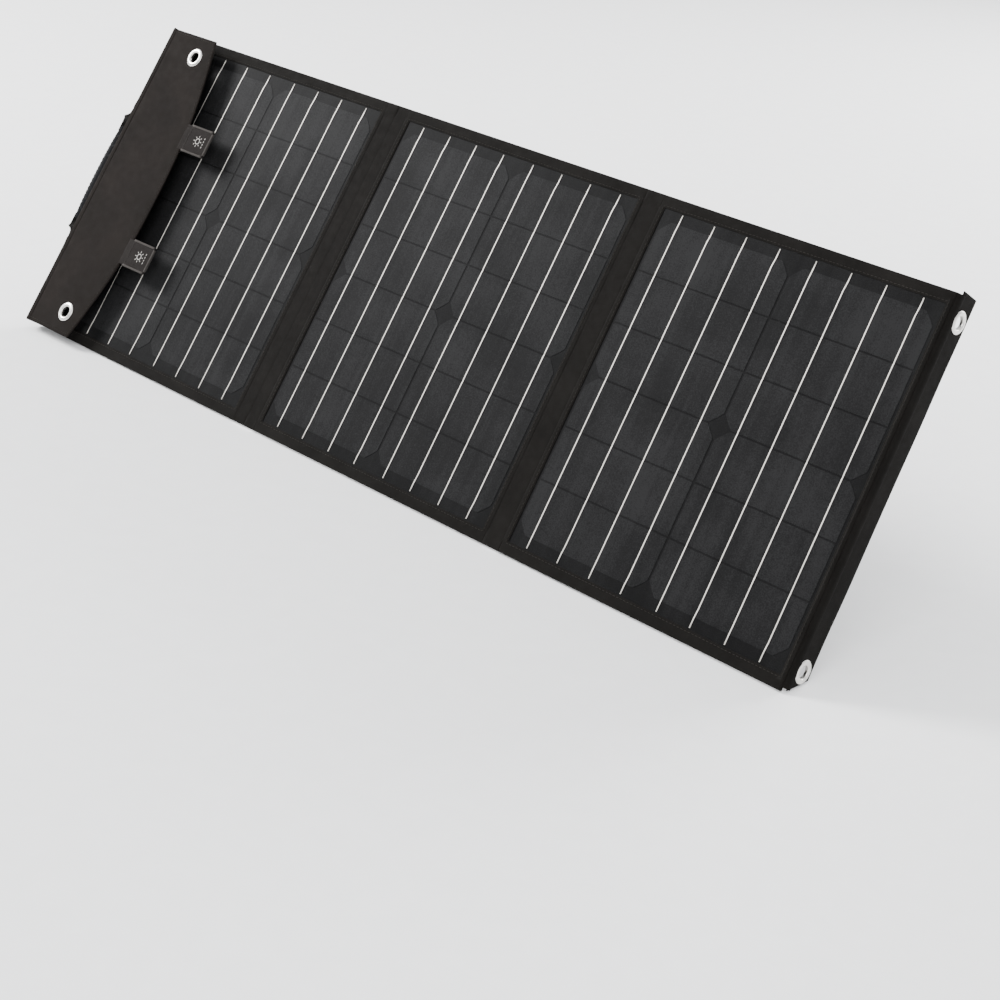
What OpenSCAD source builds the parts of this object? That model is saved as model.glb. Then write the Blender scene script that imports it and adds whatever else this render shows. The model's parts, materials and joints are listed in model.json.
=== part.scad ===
// Folding solar blanket: three cell panels that letter-fold into a carrying bag.
// The blanket is designed flat, with X along its length, Y across it and Z out of the solar
// faces, and is then leaned back onto its two kickstands by stand_up().

/* [Panels] */
// Size of a panel across the blanket
panel_w = 370; // [300:5:420]
// Thickness of a panel from the cell face to its back cover
panel_t = 4.2; // [3.5:0.1:6]
// Thickness of the outer fabric
fabric_t = 0.8; // [0.5:0.1:1.2]
// Thickness of the fabric border round the cells
border_t = 0.6; // [0.3:0.1:1]
// Half length of the window that shows the cells
window_x = 161; // [158:0.5:164]
// Half height of the window that shows the cells
window_y = 172.5; // [172:0.5:176]

/* [Cells] */
// Edge of a square cell before it is cut
cell_w = 156.75; // [125:0.25:182]
// Gap between the two columns of cells
cell_gap = 2.5; // [1:0.25:4]
// Gap between the strips that a cell is cut into
strip_gap = 1.75; // [0.5:0.25:3]
// Radius of the round wafer that the cells were cut from
wafer_r = 103; // [100:0.5:111]
// Busbars on a column of cells
bars_per_cell = 4; // [2:1:6]
// Spacing of the busbars
bar_pitch = 39; // [20:0.5:52]
// Width of a busbar
bar_w = 2; // [1:0.1:3]
// Length of a busbar
bar_l = 342; // [330:1:345]

/* [Folds] */
// Distance between the two creases that let panel A fold over panel C
crease_gap = 9.6; // [9:0.1:14]
// Height of the fold axes over the cell face
crease_z = 1; // [0.8:0.1:1.4]
// Clearance kept on each side of a fold
fold_gap = 0.3; // [0.3:0.05:0.6]

/* [Spine and flap] */
// Thickness of the spine and of the flap
flap_t = 2; // [1.5:0.1:3]
// Reach of the flap at its middle
flap_reach = 104; // [80:1:120]
// How far the ends of the flap draw back
flap_bow = 29; // [0:1:40]
// Length of a pull tab
tab_l = 38; // [20:1:45]
// Width of a pull tab
tab_w = 32; // [20:1:40]
// Distance of a pull tab from the middle of the flap
tab_y = 71; // [50:1:90]

/* [Eyelets] */
// Radius of the hole through an eyelet
eyelet_r = 6; // [4:0.5:7]
// Outer radius of an eyelet
eyelet_flange_r = 11; // [9:0.5:12]

/* [Handle] */
// Distance between the two anchors of the handle
handle_span = 172; // [140:2:200]
// Height of the handle over the spine
handle_h = 39; // [34:1:50]
// Length of the moulded grip
grip_l = 118; // [100:2:140]

/* [Kickstands] */
// Angle at which the blanket leans, from lying flat
lean = 60; // [45:1:70]
// Length of a kickstand
kick_l = 300; // [280:1:310]
// Width of a kickstand
kick_w = 115; // [90:1:120]
// Thickness of a kickstand
kick_t = 3; // [2:0.1:3.2]

/* [Pocket] */
// Length of the pocket across the blanket
pocket_l = 324; // [280:2:330]
// Width of the pocket along the blanket
pocket_w = 184; // [160:2:190]
// Corner radius of the pocket
pocket_r = 28; // [20:1:36]
// Depth of the pocket's gusset
gusset_h = 11; // [8:0.5:16]
// Depth of the pocket's lid
lid_h = 10.5; // [8:0.5:14]

/* [Hidden] */
$fn = 48;

// Panel A carries the spine, the pocket and a kickstand. Panel B is in the middle.
cells_half_x = cell_w + cell_gap / 2;
fold_ab_x = -183.4;
fold_bc_x = 178.2;
cells_a_x = -366.65;
cells_c_x = 356.15;
crease_b_x = fold_ab_x + crease_gap / 2;
crease_a_x = fold_ab_x - crease_gap / 2;
tray_b = [-168, 168];
tray_a = [-543, -199];
tray_c = [188.3, 523];
wall_t = 1;
cell_t = 0.3;
bar_t = 0.2;
sheet_t = 0.6;
sheet_x = 165;
sheet_y = 178;
web_z = -0.8;

// Spine and flap, folded up from panel A's outer edge.
spine_axis = [-545, 0.6];
spine_in_x = -547;
spine_out_x = spine_in_x - 2.2;
spine_z = [0.9, 18.1];
spine_mid_z = 9.6;
flap_z = 16.8;
flap_axis = [-548.1, 18.5];
flap_x = -546.5;
flap_end_y = 184;
flap_tip_x = flap_x + flap_reach;
flap_arc_r = (pow(flap_end_y, 2) + pow(flap_bow, 2)) / (2 * flap_bow);
flap_eyelet_x = -492;
flap_eyelet_y = 159;
tab_t = 2.6;
tab_root_y = tab_y - tab_w / 2;
tab_x = flap_tip_x - flap_arc_r + sqrt(pow(flap_arc_r, 2) - pow(tab_root_y, 2)) + 1.9;

// End strip of panel C, turned back from its outer edge.
end_axis = [524.4, -4.4];
end_x = [525.2, 526.8];
end_z = [-30, -4.9];
end_eyelet_y = 163;
end_eyelet_z = -17;
end_top_y = 189;

// Kickstands lie along Y, hinged below the top long edge.
kick_hinge_y = 140.5;
kick_hinge_z = -6.2;
kick_a_x = -260.5;
kick_c_x = 260.5;
kick_start_y = kick_hinge_y - 1.5;
kick_reach = kick_l + 1.5;
kick_r = 6;
floor_drop = (kick_hinge_y + panel_w / 2) * sin(lean)
    + (kick_hinge_z + panel_t) * cos(lean);
kick_slant = atan(kick_t / 2 / kick_reach);
kick_lean = acos(floor_drop / norm([kick_reach, kick_t / 2])) + kick_slant;
kick_open = 90 - lean + kick_lean;

// Middle of the standing blanket's box, from the handle to the end eyelets and from the flap's
// lower corner to the kickstands' feet.
handle_off = 7.4;
handle_axis_x = spine_out_x - handle_off;
handle_reach = handle_h - handle_off;
handle_tilt = 40;
webbing_w = 14;
handle_extent = handle_off + (handle_reach - 1) * cos(handle_tilt)
    + (webbing_w / 2 + 1) * sin(handle_tilt);
mid_x = (spine_out_x - handle_extent + end_x[1] + 0.8) / 2;
front_y = -flap_end_y * cos(lean) - (flap_z + flap_t) * sin(lean);
foot_y = kick_hinge_y * cos(lean) - kick_hinge_z * sin(lean)
    + kick_reach * sin(kick_lean) + kick_t / 2 * cos(kick_lean);
mid_y = (front_y + foot_y) / 2;

// Pocket on the back of panel A.
pocket_x = -441;
gusset_z = -panel_t;
tape_h = 2;
lid_z = gusset_z - gusset_h - tape_h - 0.4;
pocket_wall = 2;
piping_t = 2.4;
lid_axis = [pocket_x + pocket_w / 2 + 1.4, lid_z + 0.2];
slider_x = pocket_x - pocket_w / 2;
slider_ys = [-26, -42];
slider_z = lid_z + 0.2;
pull_l = 22;

// Junction box inside the pocket.
box_l = 90;
box_w = 54;
box_x = -494;
box_y = 95;
box_h = 12;
box_z = gusset_z - 0.6;
box_wall = 1.8;
usb_ys = [22, 2];
usb_c_y = -16;
dc_y = -31;

// ---- shared shapes ----

// Leans the flat blanket back and stands its lower long edge on the floor, with the origin
// under the middle of its box.
module stand_up() {
    base_z = panel_w / 2 * sin(lean) + panel_t * cos(lean);
    translate([-mid_x, -mid_y, base_z]) rotate([lean, 0, 0]) children();
}

// A block between two corners.
module block(from, to) {
    translate(from) cube(to - from);
}

module round_rect(size, r) {
    x = size[0] / 2 - r;
    y = size[1] / 2 - r;
    union() {
        square([size[0], size[1] - 2 * r], center = true);
        square([size[0] - 2 * r, size[1]], center = true);
        for (sx = [-1, 1], sy = [-1, 1]) translate([sx * x, sy * y]) circle(r);
    }
}

// A rounded rectangular ring that stands downwards from z.
module round_ring(size, r, wall, z, h) {
    translate([0, 0, z - h]) linear_extrude(h) difference() {
        round_rect(size, r);
        round_rect([size[0] - 2 * wall, size[1] - 2 * wall], r - wall);
    }
}

module in_pocket_place() {
    translate([pocket_x, 0, 0]) children();
}

module in_box_place() {
    translate([box_x, box_y, 0]) children();
}

// ---- panels ----

// One strip of a pseudo-square cell. Strip -1, 0 or 1 keeps the wafer's round at its own end.
module cell_strip(strip) {
    strip_h = cell_w / 3;
    linear_extrude(cell_t) intersection() {
        square([cell_w, strip_h], center = true);
        translate([0, -strip * strip_h]) circle(wafer_r, $fn = 96);
    }
}

module cells(x) {
    strip_pitch = cell_w / 3 + strip_gap;
    for (column = [-1, 1], row = [-1, 1], strip = [-1, 0, 1]) {
        cx = x + column * (cell_w + cell_gap) / 2;
        cy = (row * 1.5 + strip) * strip_pitch;
        translate([cx, cy, -cell_t]) cell_strip(strip);
    }
}

module busbars(x) {
    for (column = [-1, 1], bar = [0 : bars_per_cell - 1]) {
        bx = x + column * (cell_w + cell_gap) / 2 + (bar - (bars_per_cell - 1) / 2) * bar_pitch;
        block([bx - bar_w / 2, -bar_l / 2, 0], [bx + bar_w / 2, bar_l / 2, bar_t]);
    }
}

module backsheet(x) {
    block([x - sheet_x, -sheet_y, -cell_t - sheet_t], [x + sheet_x, sheet_y, -cell_t]);
}

module panel_board(tray) {
    block(
        [tray[0] + wall_t, -panel_w / 2 + wall_t, fabric_t - panel_t],
        [tray[1] - wall_t, panel_w / 2 - wall_t, -cell_t - sheet_t]
    );
}

// The back cover turns up round the board's four edges.
module back_cover(tray) {
    difference() {
        block([tray[0], -panel_w / 2, -panel_t], [tray[1], panel_w / 2, 0]);
        block(
            [tray[0] + wall_t, -panel_w / 2 + wall_t, fabric_t - panel_t],
            [tray[1] - wall_t, panel_w / 2 - wall_t, 1]
        );
    }
}

module border(tray, x) {
    difference() {
        block([tray[0], -panel_w / 2, 0], [tray[1], panel_w / 2, border_t]);
        block([x - window_x, -window_y, -1], [x + window_x, window_y, border_t + 1]);
    }
}

// Fabric from a panel's edge to its fold.
module web(x0, x1) {
    block([x0, -panel_w / 2, web_z], [x1, panel_w / 2, border_t]);
}

module b_back_cover() {
    color("DimGray") stand_up() union() {
        back_cover(tray_b);
        web(crease_b_x + fold_gap, tray_b[0]);
        web(tray_b[1], fold_bc_x - fold_gap);
    }
}

module b_board() { color("Tan") stand_up() panel_board(tray_b); }
module b_backsheet() { color("Black") stand_up() backsheet(0); }
module b_cells() { color("DarkSlateGray") stand_up() cells(0); }
module b_busbars() { color("Silver") stand_up() busbars(0); }
module b_border() { color("DimGray") stand_up() border(tray_b, 0); }

// Steel plates on panel B's back that the tabs' magnets close onto.
module b_flap_plates() {
    plate_x = 2 * fold_ab_x - (tab_x + tab_l / 2);
    color("Silver") stand_up() for (side = [-1, 1]) block(
        [plate_x - 9, side * tab_y - 9, -panel_t - 0.3],
        [plate_x + 9, side * tab_y + 9, -panel_t]
    );
}

module a_back_cover() {
    color("DimGray") stand_up() union() {
        back_cover(tray_a);
        web(tray_a[1], crease_a_x - fold_gap);
        web(spine_axis[0] + fold_gap, tray_a[0]);
    }
}

module a_board() { color("Tan") stand_up() panel_board(tray_a); }
module a_backsheet() { color("Black") stand_up() backsheet(cells_a_x); }
module a_cells() { color("DarkSlateGray") stand_up() cells(cells_a_x); }
module a_busbars() { color("Silver") stand_up() busbars(cells_a_x); }
module a_border() { color("DimGray") stand_up() border(tray_a, cells_a_x); }

module c_back_cover() {
    color("DimGray") stand_up() union() {
        back_cover(tray_c);
        web(fold_bc_x + fold_gap, tray_c[0]);
    }
}

module c_board() { color("Tan") stand_up() panel_board(tray_c); }
module c_backsheet() { color("Black") stand_up() backsheet(cells_c_x); }
module c_cells() { color("DarkSlateGray") stand_up() cells(cells_c_x); }
module c_busbars() { color("Silver") stand_up() busbars(cells_c_x); }
module c_border() { color("DimGray") stand_up() border(tray_c, cells_c_x); }

// The strip that stands between panels B and A when A lies folded over C.
module fold_strip() {
    color("Gray") stand_up() web(crease_a_x + fold_gap, crease_b_x - fold_gap);
}

// ---- spine, handle and flap ----

module spine_plate(inset, thick_in) {
    block(
        [spine_out_x + thick_in, -panel_w / 2 + inset, spine_z[0] + inset],
        [spine_in_x - thick_in, panel_w / 2 - inset, spine_z[1] - inset]
    );
}

module spine_board() {
    color("Tan") stand_up() spine_plate(1.5, 0.5);
}

module spine_cover() {
    color("DimGray") stand_up() difference() {
        spine_plate(0, 0);
        spine_plate(1.5, 0.5);
    }
}

anchor_t = 1.4;
anchor_w = 14;
rivet_r = 3;
rivet_y = 8;
eye_r = 2;
eye_l = 8;
eye_pin_r = 0.8;
eye_pin_play = 0.1;
lug_t = 2;
lug_gap = 0.3;
leg_foot_y = handle_span / 2 - 14;

// Draws something at each anchor of the handle, mirrored on the lower one.
module at_anchors() {
    for (side = [0, 1]) mirror([0, side, 0])
        translate([spine_out_x, handle_span / 2, spine_mid_z]) children();
}

// A patch on the spine with a lug outside the handle's eye and a pin through the eye.
module handle_anchors() {
    lug_y = leg_foot_y - handle_span / 2 + eye_l + lug_gap;
    color("DarkSlateGray") stand_up() at_anchors() difference() {
        union() {
            block([-anchor_t, -13.4, -anchor_w / 2], [0, rivet_y + 5, anchor_w / 2]);
            block([-handle_off, lug_y, -eye_r], [-anchor_t, lug_y + lug_t, eye_r]);
            translate([-handle_off, lug_y + lug_t, 0]) rotate([90, 0, 0]) cylinder(r = eye_r, h = lug_t);
            translate([-handle_off, lug_y + lug_t, 0]) rotate([90, 0, 0])
                cylinder(r = eye_pin_r, h = lug_t + eye_l);
        }
        translate([0, rivet_y, 0]) rotate([0, 90, 0])
            cylinder(r = rivet_r / 2, h = 2 * anchor_t + 2, center = true);
    }
}

// A domed head outside the patch and a shank through it.
module handle_rivets() {
    color("Silver") stand_up() at_anchors() translate([0, rivet_y, 0]) rotate([0, -90, 0]) union() {
        cylinder(r = rivet_r / 2, h = anchor_t);
        translate([0, 0, anchor_t]) cylinder(r = rivet_r, h = 0.5);
    }
}

webbing_t = 2;
grip_y = grip_l / 2;

// Places the handle, drawn upright along X from the spine, at its own droop.
module handle_place() {
    translate([handle_axis_x, 0, spine_mid_z]) rotate([0, -handle_tilt, 0])
        translate([0, 0, -webbing_w / 2]) children();
}

// The webbing's outline: a leg that rises at each end, and between them a run through the grip.
module webbing_outline() {
    rise = handle_reach - 9;
    outer = [[-webbing_t, leg_foot_y], [-rise, grip_y + 6], [-rise - 1.5, grip_y - 4]];
    inner = [[0, leg_foot_y - 1], [-rise + 2.2, grip_y + 4], [-rise + 0.5, grip_y - 3]];
    polygon([
        for (p = outer) p,
        for (i = [len(outer) - 1 : -1 : 0]) [outer[i][0], -outer[i][1]],
        for (p = inner) [p[0], -p[1]],
        for (i = [len(inner) - 1 : -1 : 0]) inner[i]
    ]);
}

// Each leg ends in an eye that turns on its anchor's pin.
module handle_webbing() {
    color("DimGray") stand_up() handle_place() difference() {
        union() {
            linear_extrude(webbing_w) webbing_outline();
            at_eyes() cylinder(r = eye_r, h = eye_l + 2);
        }
        at_eyes() cylinder(r = eye_pin_r + eye_pin_play, h = 2 * eye_l + 1, center = true);
    }
}

// The outer end of each eye, with Z along its pin towards the middle of the handle.
module at_eyes() {
    for (side = [0, 1]) mirror([0, side, 0])
        translate([0, leg_foot_y + eye_l, webbing_w / 2]) rotate([90, 0, 0]) children();
}

grip_arc_r = 560;
grip_in_x = -(handle_reach - 9) + 2.6;
grip_out_x = -handle_reach + 1;

// The grip wraps the webbing: an arched outer face over a straight inner one.
module grip_outline() {
    intersection() {
        translate([grip_out_x, -grip_y]) square([grip_in_x - grip_out_x, grip_l]);
        translate([grip_out_x + grip_arc_r, 0]) circle(grip_arc_r, $fn = 180);
    }
}

module handle_grip() {
    color("Black") stand_up() difference() {
        handle_place() translate([0, 0, -1]) linear_extrude(webbing_w + 2) grip_outline();
        handle_place() linear_extrude(webbing_w) webbing_outline();
    }
}

// The flap's outline: straight at the spine, with a bowed free edge.
module flap_outline(inset) {
    intersection() {
        translate([flap_x + inset, -flap_end_y + inset])
            square([flap_reach - inset, 2 * (flap_end_y - inset)]);
        translate([flap_tip_x - inset - flap_arc_r, 0]) circle(flap_arc_r, $fn = 180);
    }
}

module flap_holes(r) {
    for (side = [-1, 1]) translate([flap_eyelet_x, side * flap_eyelet_y]) circle(r);
}

barrel_r = eyelet_r + 0.8;

module flap_board() {
    color("Tan") stand_up() translate([0, 0, flap_z + 0.5]) linear_extrude(flap_t - 1) difference() {
        flap_outline(5);
        flap_holes(eyelet_flange_r + 1);
    }
}

module flap_cover() {
    color("DimGray") stand_up() difference() {
        translate([0, 0, flap_z]) linear_extrude(flap_t) difference() {
            flap_outline(0);
            flap_holes(barrel_r);
        }
        translate([0, 0, flap_z + 0.5]) linear_extrude(flap_t - 1) difference() {
            flap_outline(5);
            flap_holes(eyelet_flange_r + 1);
        }
    }
}

// An eyelet's face flange and barrel, with the sheet's near face at z = 0 and thickness t.
module eyelet(t) {
    difference() {
        union() {
            cylinder(r = eyelet_flange_r, h = 0.8);
            translate([0, 0, -t - 0.3]) cylinder(r = barrel_r, h = t + 0.4);
        }
        translate([0, 0, -t - 1]) cylinder(r = eyelet_r, h = t + 3);
    }
}

module eyelet_washer(t) {
    translate([0, 0, -t - 0.5]) difference() {
        cylinder(r = eyelet_flange_r - 1, h = 0.5);
        translate([0, 0, -1]) cylinder(r = barrel_r, h = 3);
    }
}

module at_flap_eyelets() {
    for (side = [-1, 1])
        translate([flap_eyelet_x, side * flap_eyelet_y, flap_z + flap_t]) children();
}

module flap_eyelets() { color("White") stand_up() at_flap_eyelets() eyelet(flap_t); }
module flap_washers() { color("Silver") stand_up() at_flap_eyelets() eyelet_washer(flap_t); }

// A pull tab: a folded loop of webbing round a magnet.
module tab(side) {
    difference() {
        translate([tab_x + tab_l / 2, side * tab_y, flap_z]) linear_extrude(tab_t)
            round_rect([tab_l, tab_w], 5);
        tab_magnet(side);
    }
}

module tab_magnet(side) {
    translate([tab_x + tab_l / 2, side * tab_y, flap_z + 0.6])
        cylinder(r = 8, h = tab_t - 1.2);
}

module tab_upper() { color("Gray") stand_up() tab(1); }
module tab_upper_magnet() { color("Silver") stand_up() tab_magnet(1); }
module tab_lower() { color("Gray") stand_up() tab(-1); }
module tab_lower_magnet() { color("Silver") stand_up() tab_magnet(-1); }

// ---- end strip ----

// The strip's lower end is cut to clear the floor that the blanket stands on.
module end_strip() {
    floor_y = function(z) -(panel_w / 2 * sin(lean) + (panel_t + z) * cos(lean) - 1.5)
        / sin(lean);
    color("DimGray") stand_up() translate([end_x[0], 0, 0]) rotate([90, 0, 90]) difference() {
        linear_extrude(end_x[1] - end_x[0]) polygon([
            [end_top_y, end_z[0]], [end_top_y, end_z[1]],
            [floor_y(end_z[1]), end_z[1]], [floor_y(end_z[0]), end_z[0]]
        ]);
        for (side = [-1, 1]) translate([side * end_eyelet_y, end_eyelet_z, -1])
            cylinder(r = barrel_r, h = 4);
    }
}

module at_end_eyelets() {
    for (side = [-1, 1]) translate([end_x[1], side * end_eyelet_y, end_eyelet_z])
        rotate([0, 90, 0]) children();
}

module end_eyelets() { color("White") stand_up() at_end_eyelets() eyelet(end_x[1] - end_x[0]); }
module end_washers() {
    color("Silver") stand_up() at_end_eyelets() eyelet_washer(end_x[1] - end_x[0]);
}

// ---- kickstands ----

module kick_anchor(x) {
    block(
        [x - kick_w / 2, kick_hinge_y + 1.2, -panel_t - 1.2],
        [x + kick_w / 2, kick_hinge_y + 16.5, -panel_t]
    );
}

// Swings a kickstand, drawn shut against the panel, out to its open stop.
module kick_place(x) {
    translate([x, kick_hinge_y, kick_hinge_z]) rotate([kick_open, 0, 0]) children();
}

module kick_plate(inset, skin) {
    translate([0, -1.5 - kick_l / 2, -kick_t / 2 + skin]) linear_extrude(kick_t - 2 * skin)
        round_rect([kick_w - 2 * inset, kick_l - 2 * inset], kick_r - inset / 2);
}

module kick_cover(x) {
    kick_place(x) difference() {
        kick_plate(0, 0);
        kick_plate(5, 0.5);
    }
}

module kick_a_anchor() { color("DimGray") stand_up() kick_anchor(kick_a_x); }
module kick_a_cover() { color("DimGray") stand_up() kick_cover(kick_a_x); }
module kick_a_board() { color("Tan") stand_up() kick_place(kick_a_x) kick_plate(5, 0.5); }
module kick_c_anchor() { color("DimGray") stand_up() kick_anchor(kick_c_x); }
module kick_c_cover() { color("DimGray") stand_up() kick_cover(kick_c_x); }
module kick_c_board() { color("Tan") stand_up() kick_place(kick_c_x) kick_plate(5, 0.5); }

// ---- pocket ----

module pocket_gusset() {
    color("DimGray") stand_up() in_pocket_place()
        round_ring([pocket_w, pocket_l], pocket_r, pocket_wall, gusset_z, gusset_h);
}

module pocket_piping() {
    size = [pocket_w + 2 * piping_t, pocket_l + 2 * piping_t];
    color("Black") stand_up() in_pocket_place()
        round_ring(size, pocket_r + piping_t, piping_t, gusset_z, piping_t);
}

module pocket_zip_tape() {
    color("Black") stand_up() in_pocket_place()
        round_ring([pocket_w, pocket_l], pocket_r, 1.2, gusset_z - gusset_h, tape_h);
}

module lid_zip_tape() {
    color("Black") stand_up() in_pocket_place()
        round_ring([pocket_w, pocket_l], pocket_r, 1.2, lid_z, tape_h);
}

module lid_shell() {
    top_t = 1.6;
    wall_h = lid_h - tape_h - top_t;
    color("DimGray") stand_up() in_pocket_place() union() {
        round_ring([pocket_w, pocket_l], pocket_r, pocket_wall, lid_z - tape_h, wall_h);
        translate([0, 0, lid_z - lid_h]) linear_extrude(top_t)
            round_rect([pocket_w, pocket_l], pocket_r);
    }
}

module lid_piping() {
    size = [pocket_w + 2 * piping_t, pocket_l + 2 * piping_t];
    color("Black") stand_up() in_pocket_place() difference() {
        round_ring(size, pocket_r + piping_t, piping_t, lid_z - lid_h + 3.4, piping_t);
        block(
            [pocket_w / 2, -pocket_l, lid_z - 2 * lid_h],
            [pocket_w, pocket_l, lid_z]
        );
    }
}

module at_slider(i) {
    translate([slider_x, slider_ys[i], slider_z]) children();
}

module zip_slider(i) {
    at_slider(i) difference() {
        block([-3.6, -5, -2.6], [-0.4, 5, 2.2]);
        translate([-2.2, 0, -0.2]) rotate([90, 0, 0]) cylinder(r = 0.8, h = 14, center = true);
    }
}

// A pull turns on the pin through its slider.
module zip_pull(i) {
    at_slider(i) union() {
        translate([-2.2, 0, -0.2]) rotate([90, 0, 0]) cylinder(r = 0.75, h = 12.4, center = true);
        for (side = [-1, 1])
            block([-8, side * 5.8 - 0.4, -0.9], [-1.6, side * 5.8 + 0.4, 0.5]);
        block([-pull_l, -6.2, -0.9], [-8, 6.2, 0.5]);
    }
}

module zip_slider_left() { color("Silver") stand_up() zip_slider(0); }
module zip_pull_left() { color("Black") stand_up() zip_pull(0); }
module zip_slider_right() { color("Silver") stand_up() zip_slider(1); }
module zip_pull_right() { color("Black") stand_up() zip_pull(1); }

// ---- junction box ----

port_x = -box_w / 2;
usb_size = [13.4, 5.6];
usb_c_size = [9.4, 3.6];
usb_c_lift = (usb_size[1] - usb_c_size[1]) / 2;
port_z = box_z - 0.6 * box_h;
dc_r = 4;
port_depth = 12;

// A port's outline, drawn across the wall that the ports look out of.
module port_block(y, size, depth, z = port_z) {
    block([port_x - 0.1, y - size[0] / 2, z - size[1] / 2], [
        port_x + depth, y + size[0] / 2, z + size[1] / 2
    ]);
}

// Turns the round socket's axis across the wall that the ports look out of.
module at_dc_socket() {
    translate([port_x, dc_y, port_z]) rotate([0, 90, 0]) children();
}

module box_corners() {
    for (sx = [-1, 1], sy = [-1, 1])
        translate([sx * (box_w / 2 - 5), sy * (box_l / 2 - 5), 0]) children();
}

module box_base() {
    color("DarkSlateGray") stand_up() in_box_place() difference() {
        union() {
            difference() {
                translate([0, 0, box_z - box_h]) linear_extrude(box_h) round_rect([box_w, box_l], 4);
                translate([0, 0, box_z - box_h - 1]) linear_extrude(box_h - box_wall + 1)
                    round_rect([box_w - 2 * box_wall, box_l - 2 * box_wall], 2.5);
            }
            box_corners() translate([0, 0, box_z - box_h]) cylinder(r = 3.4, h = box_h - 1);
        }
        for (y = usb_ys) port_block(y, usb_size, box_wall + 0.2);
        translate([0, 0, usb_c_lift]) port_block(usb_c_y, usb_c_size, box_wall + 0.2);
        at_dc_socket() cylinder(r = dc_r, h = 3 * box_wall, center = true);
        box_corners() translate([0, 0, box_z - box_h - 1]) cylinder(r = 1.2, h = 9);
    }
}

module box_cover() {
    color("DarkSlateGray") stand_up() in_box_place()
        translate([0, 0, box_z - box_h - 2]) linear_extrude(2) difference() {
            round_rect([box_w, box_l], 4);
            box_corners() circle(1.6);
        }
}

module box_screws() {
    color("Silver") stand_up() in_box_place() box_corners() union() {
        translate([0, 0, box_z - box_h - 3]) cylinder(r = 2.4, h = 1);
        translate([0, 0, box_z - box_h - 2]) cylinder(r = 1.2, h = 9);
    }
}

pcb_top = port_z + usb_size[1] / 2;

module box_circuit_board() {
    color("Green") stand_up() in_box_place() difference() {
        block(
            [-box_w / 2 + 3, -box_l / 2 + 3, pcb_top],
            [box_w / 2 - 3, box_l / 2 - 3, pcb_top + 1.2]
        );
        box_corners() translate([0, 0, pcb_top - 1]) cylinder(r = 3.8, h = 4);
        at_dc_socket() translate([0, 0, -1]) cylinder(r = dc_r + 0.3, h = port_depth + 2);
    }
}

// A port is a rectangular metal sleeve with a tongue inside.
module port(y, size, tongue_h) {
    difference() {
        port_block(y, size, port_depth);
        port_block(y, [size[0] - 1, size[1] - 1], port_depth - 1);
    }
    block(
        [port_x + 2, y - size[0] / 2 + 2, port_z + size[1] / 2 - 0.5 - tongue_h],
        [port_x + port_depth, y + size[0] / 2 - 2, port_z + size[1] / 2 - 0.5]
    );
}

module box_usb_ports() {
    color("Silver") stand_up() in_box_place() for (y = usb_ys) port(y, usb_size, 1.8);
}

module box_usb_c_port() {
    color("Silver") stand_up() in_box_place()
        translate([0, 0, usb_c_lift]) port(usb_c_y, usb_c_size, 0.8);
}

module box_dc_socket() {
    color("Black") stand_up() in_box_place() at_dc_socket() union() {
        difference() {
            translate([0, 0, -1.2]) cylinder(r = dc_r, h = port_depth);
            translate([0, 0, -2]) cylinder(r = 2.75, h = port_depth);
        }
        cylinder(r = 1.05, h = port_depth - 1.5);
    }
}

b_back_cover();
b_board();
b_backsheet();
b_cells();
b_busbars();
b_border();
b_flap_plates();
a_back_cover();
a_board();
a_backsheet();
a_cells();
a_busbars();
a_border();
c_back_cover();
c_board();
c_backsheet();
c_cells();
c_busbars();
c_border();
fold_strip();
spine_board();
spine_cover();
handle_anchors();
handle_rivets();
handle_webbing();
handle_grip();
flap_board();
flap_cover();
flap_eyelets();
flap_washers();
tab_upper();
tab_upper_magnet();
tab_lower();
tab_lower_magnet();
end_strip();
end_eyelets();
end_washers();
kick_a_anchor();
kick_a_cover();
kick_a_board();
kick_c_anchor();
kick_c_cover();
kick_c_board();
pocket_gusset();
pocket_piping();
pocket_zip_tape();
lid_shell();
lid_piping();
lid_zip_tape();
zip_slider_left();
zip_pull_left();
zip_slider_right();
zip_pull_right();
box_base();
box_cover();
box_circuit_board();
box_usb_ports();
box_usb_c_port();
box_dc_socket();
box_screws();
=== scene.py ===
import json
import math
from itertools import product

import bmesh
import bpy
import numpy as np
from mathutils import Matrix, Vector


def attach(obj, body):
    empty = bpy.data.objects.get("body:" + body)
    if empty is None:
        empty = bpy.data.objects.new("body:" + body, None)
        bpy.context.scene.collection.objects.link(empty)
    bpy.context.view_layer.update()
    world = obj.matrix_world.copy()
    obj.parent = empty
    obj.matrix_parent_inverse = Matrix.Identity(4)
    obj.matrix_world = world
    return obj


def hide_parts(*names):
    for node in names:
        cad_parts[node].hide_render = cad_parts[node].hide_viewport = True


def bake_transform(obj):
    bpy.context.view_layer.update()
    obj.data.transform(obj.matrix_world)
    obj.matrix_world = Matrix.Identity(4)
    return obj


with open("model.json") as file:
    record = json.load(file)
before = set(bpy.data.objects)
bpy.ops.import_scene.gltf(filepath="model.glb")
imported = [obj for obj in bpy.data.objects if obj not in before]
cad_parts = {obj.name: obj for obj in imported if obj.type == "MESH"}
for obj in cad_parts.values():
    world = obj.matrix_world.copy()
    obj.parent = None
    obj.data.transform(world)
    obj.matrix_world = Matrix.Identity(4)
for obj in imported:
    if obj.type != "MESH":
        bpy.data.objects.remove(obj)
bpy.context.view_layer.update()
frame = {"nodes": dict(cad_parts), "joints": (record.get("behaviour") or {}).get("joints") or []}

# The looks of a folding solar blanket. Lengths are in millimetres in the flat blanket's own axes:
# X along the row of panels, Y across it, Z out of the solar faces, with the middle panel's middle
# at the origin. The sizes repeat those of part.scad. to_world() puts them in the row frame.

# ---- the flat blanket's axes in the row frame ----

MM = 0.001
JOINTS = {joint["name"]: joint for joint in frame["joints"]}
FOLD_BC = (178.2, 0.0, 1.0)

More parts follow.
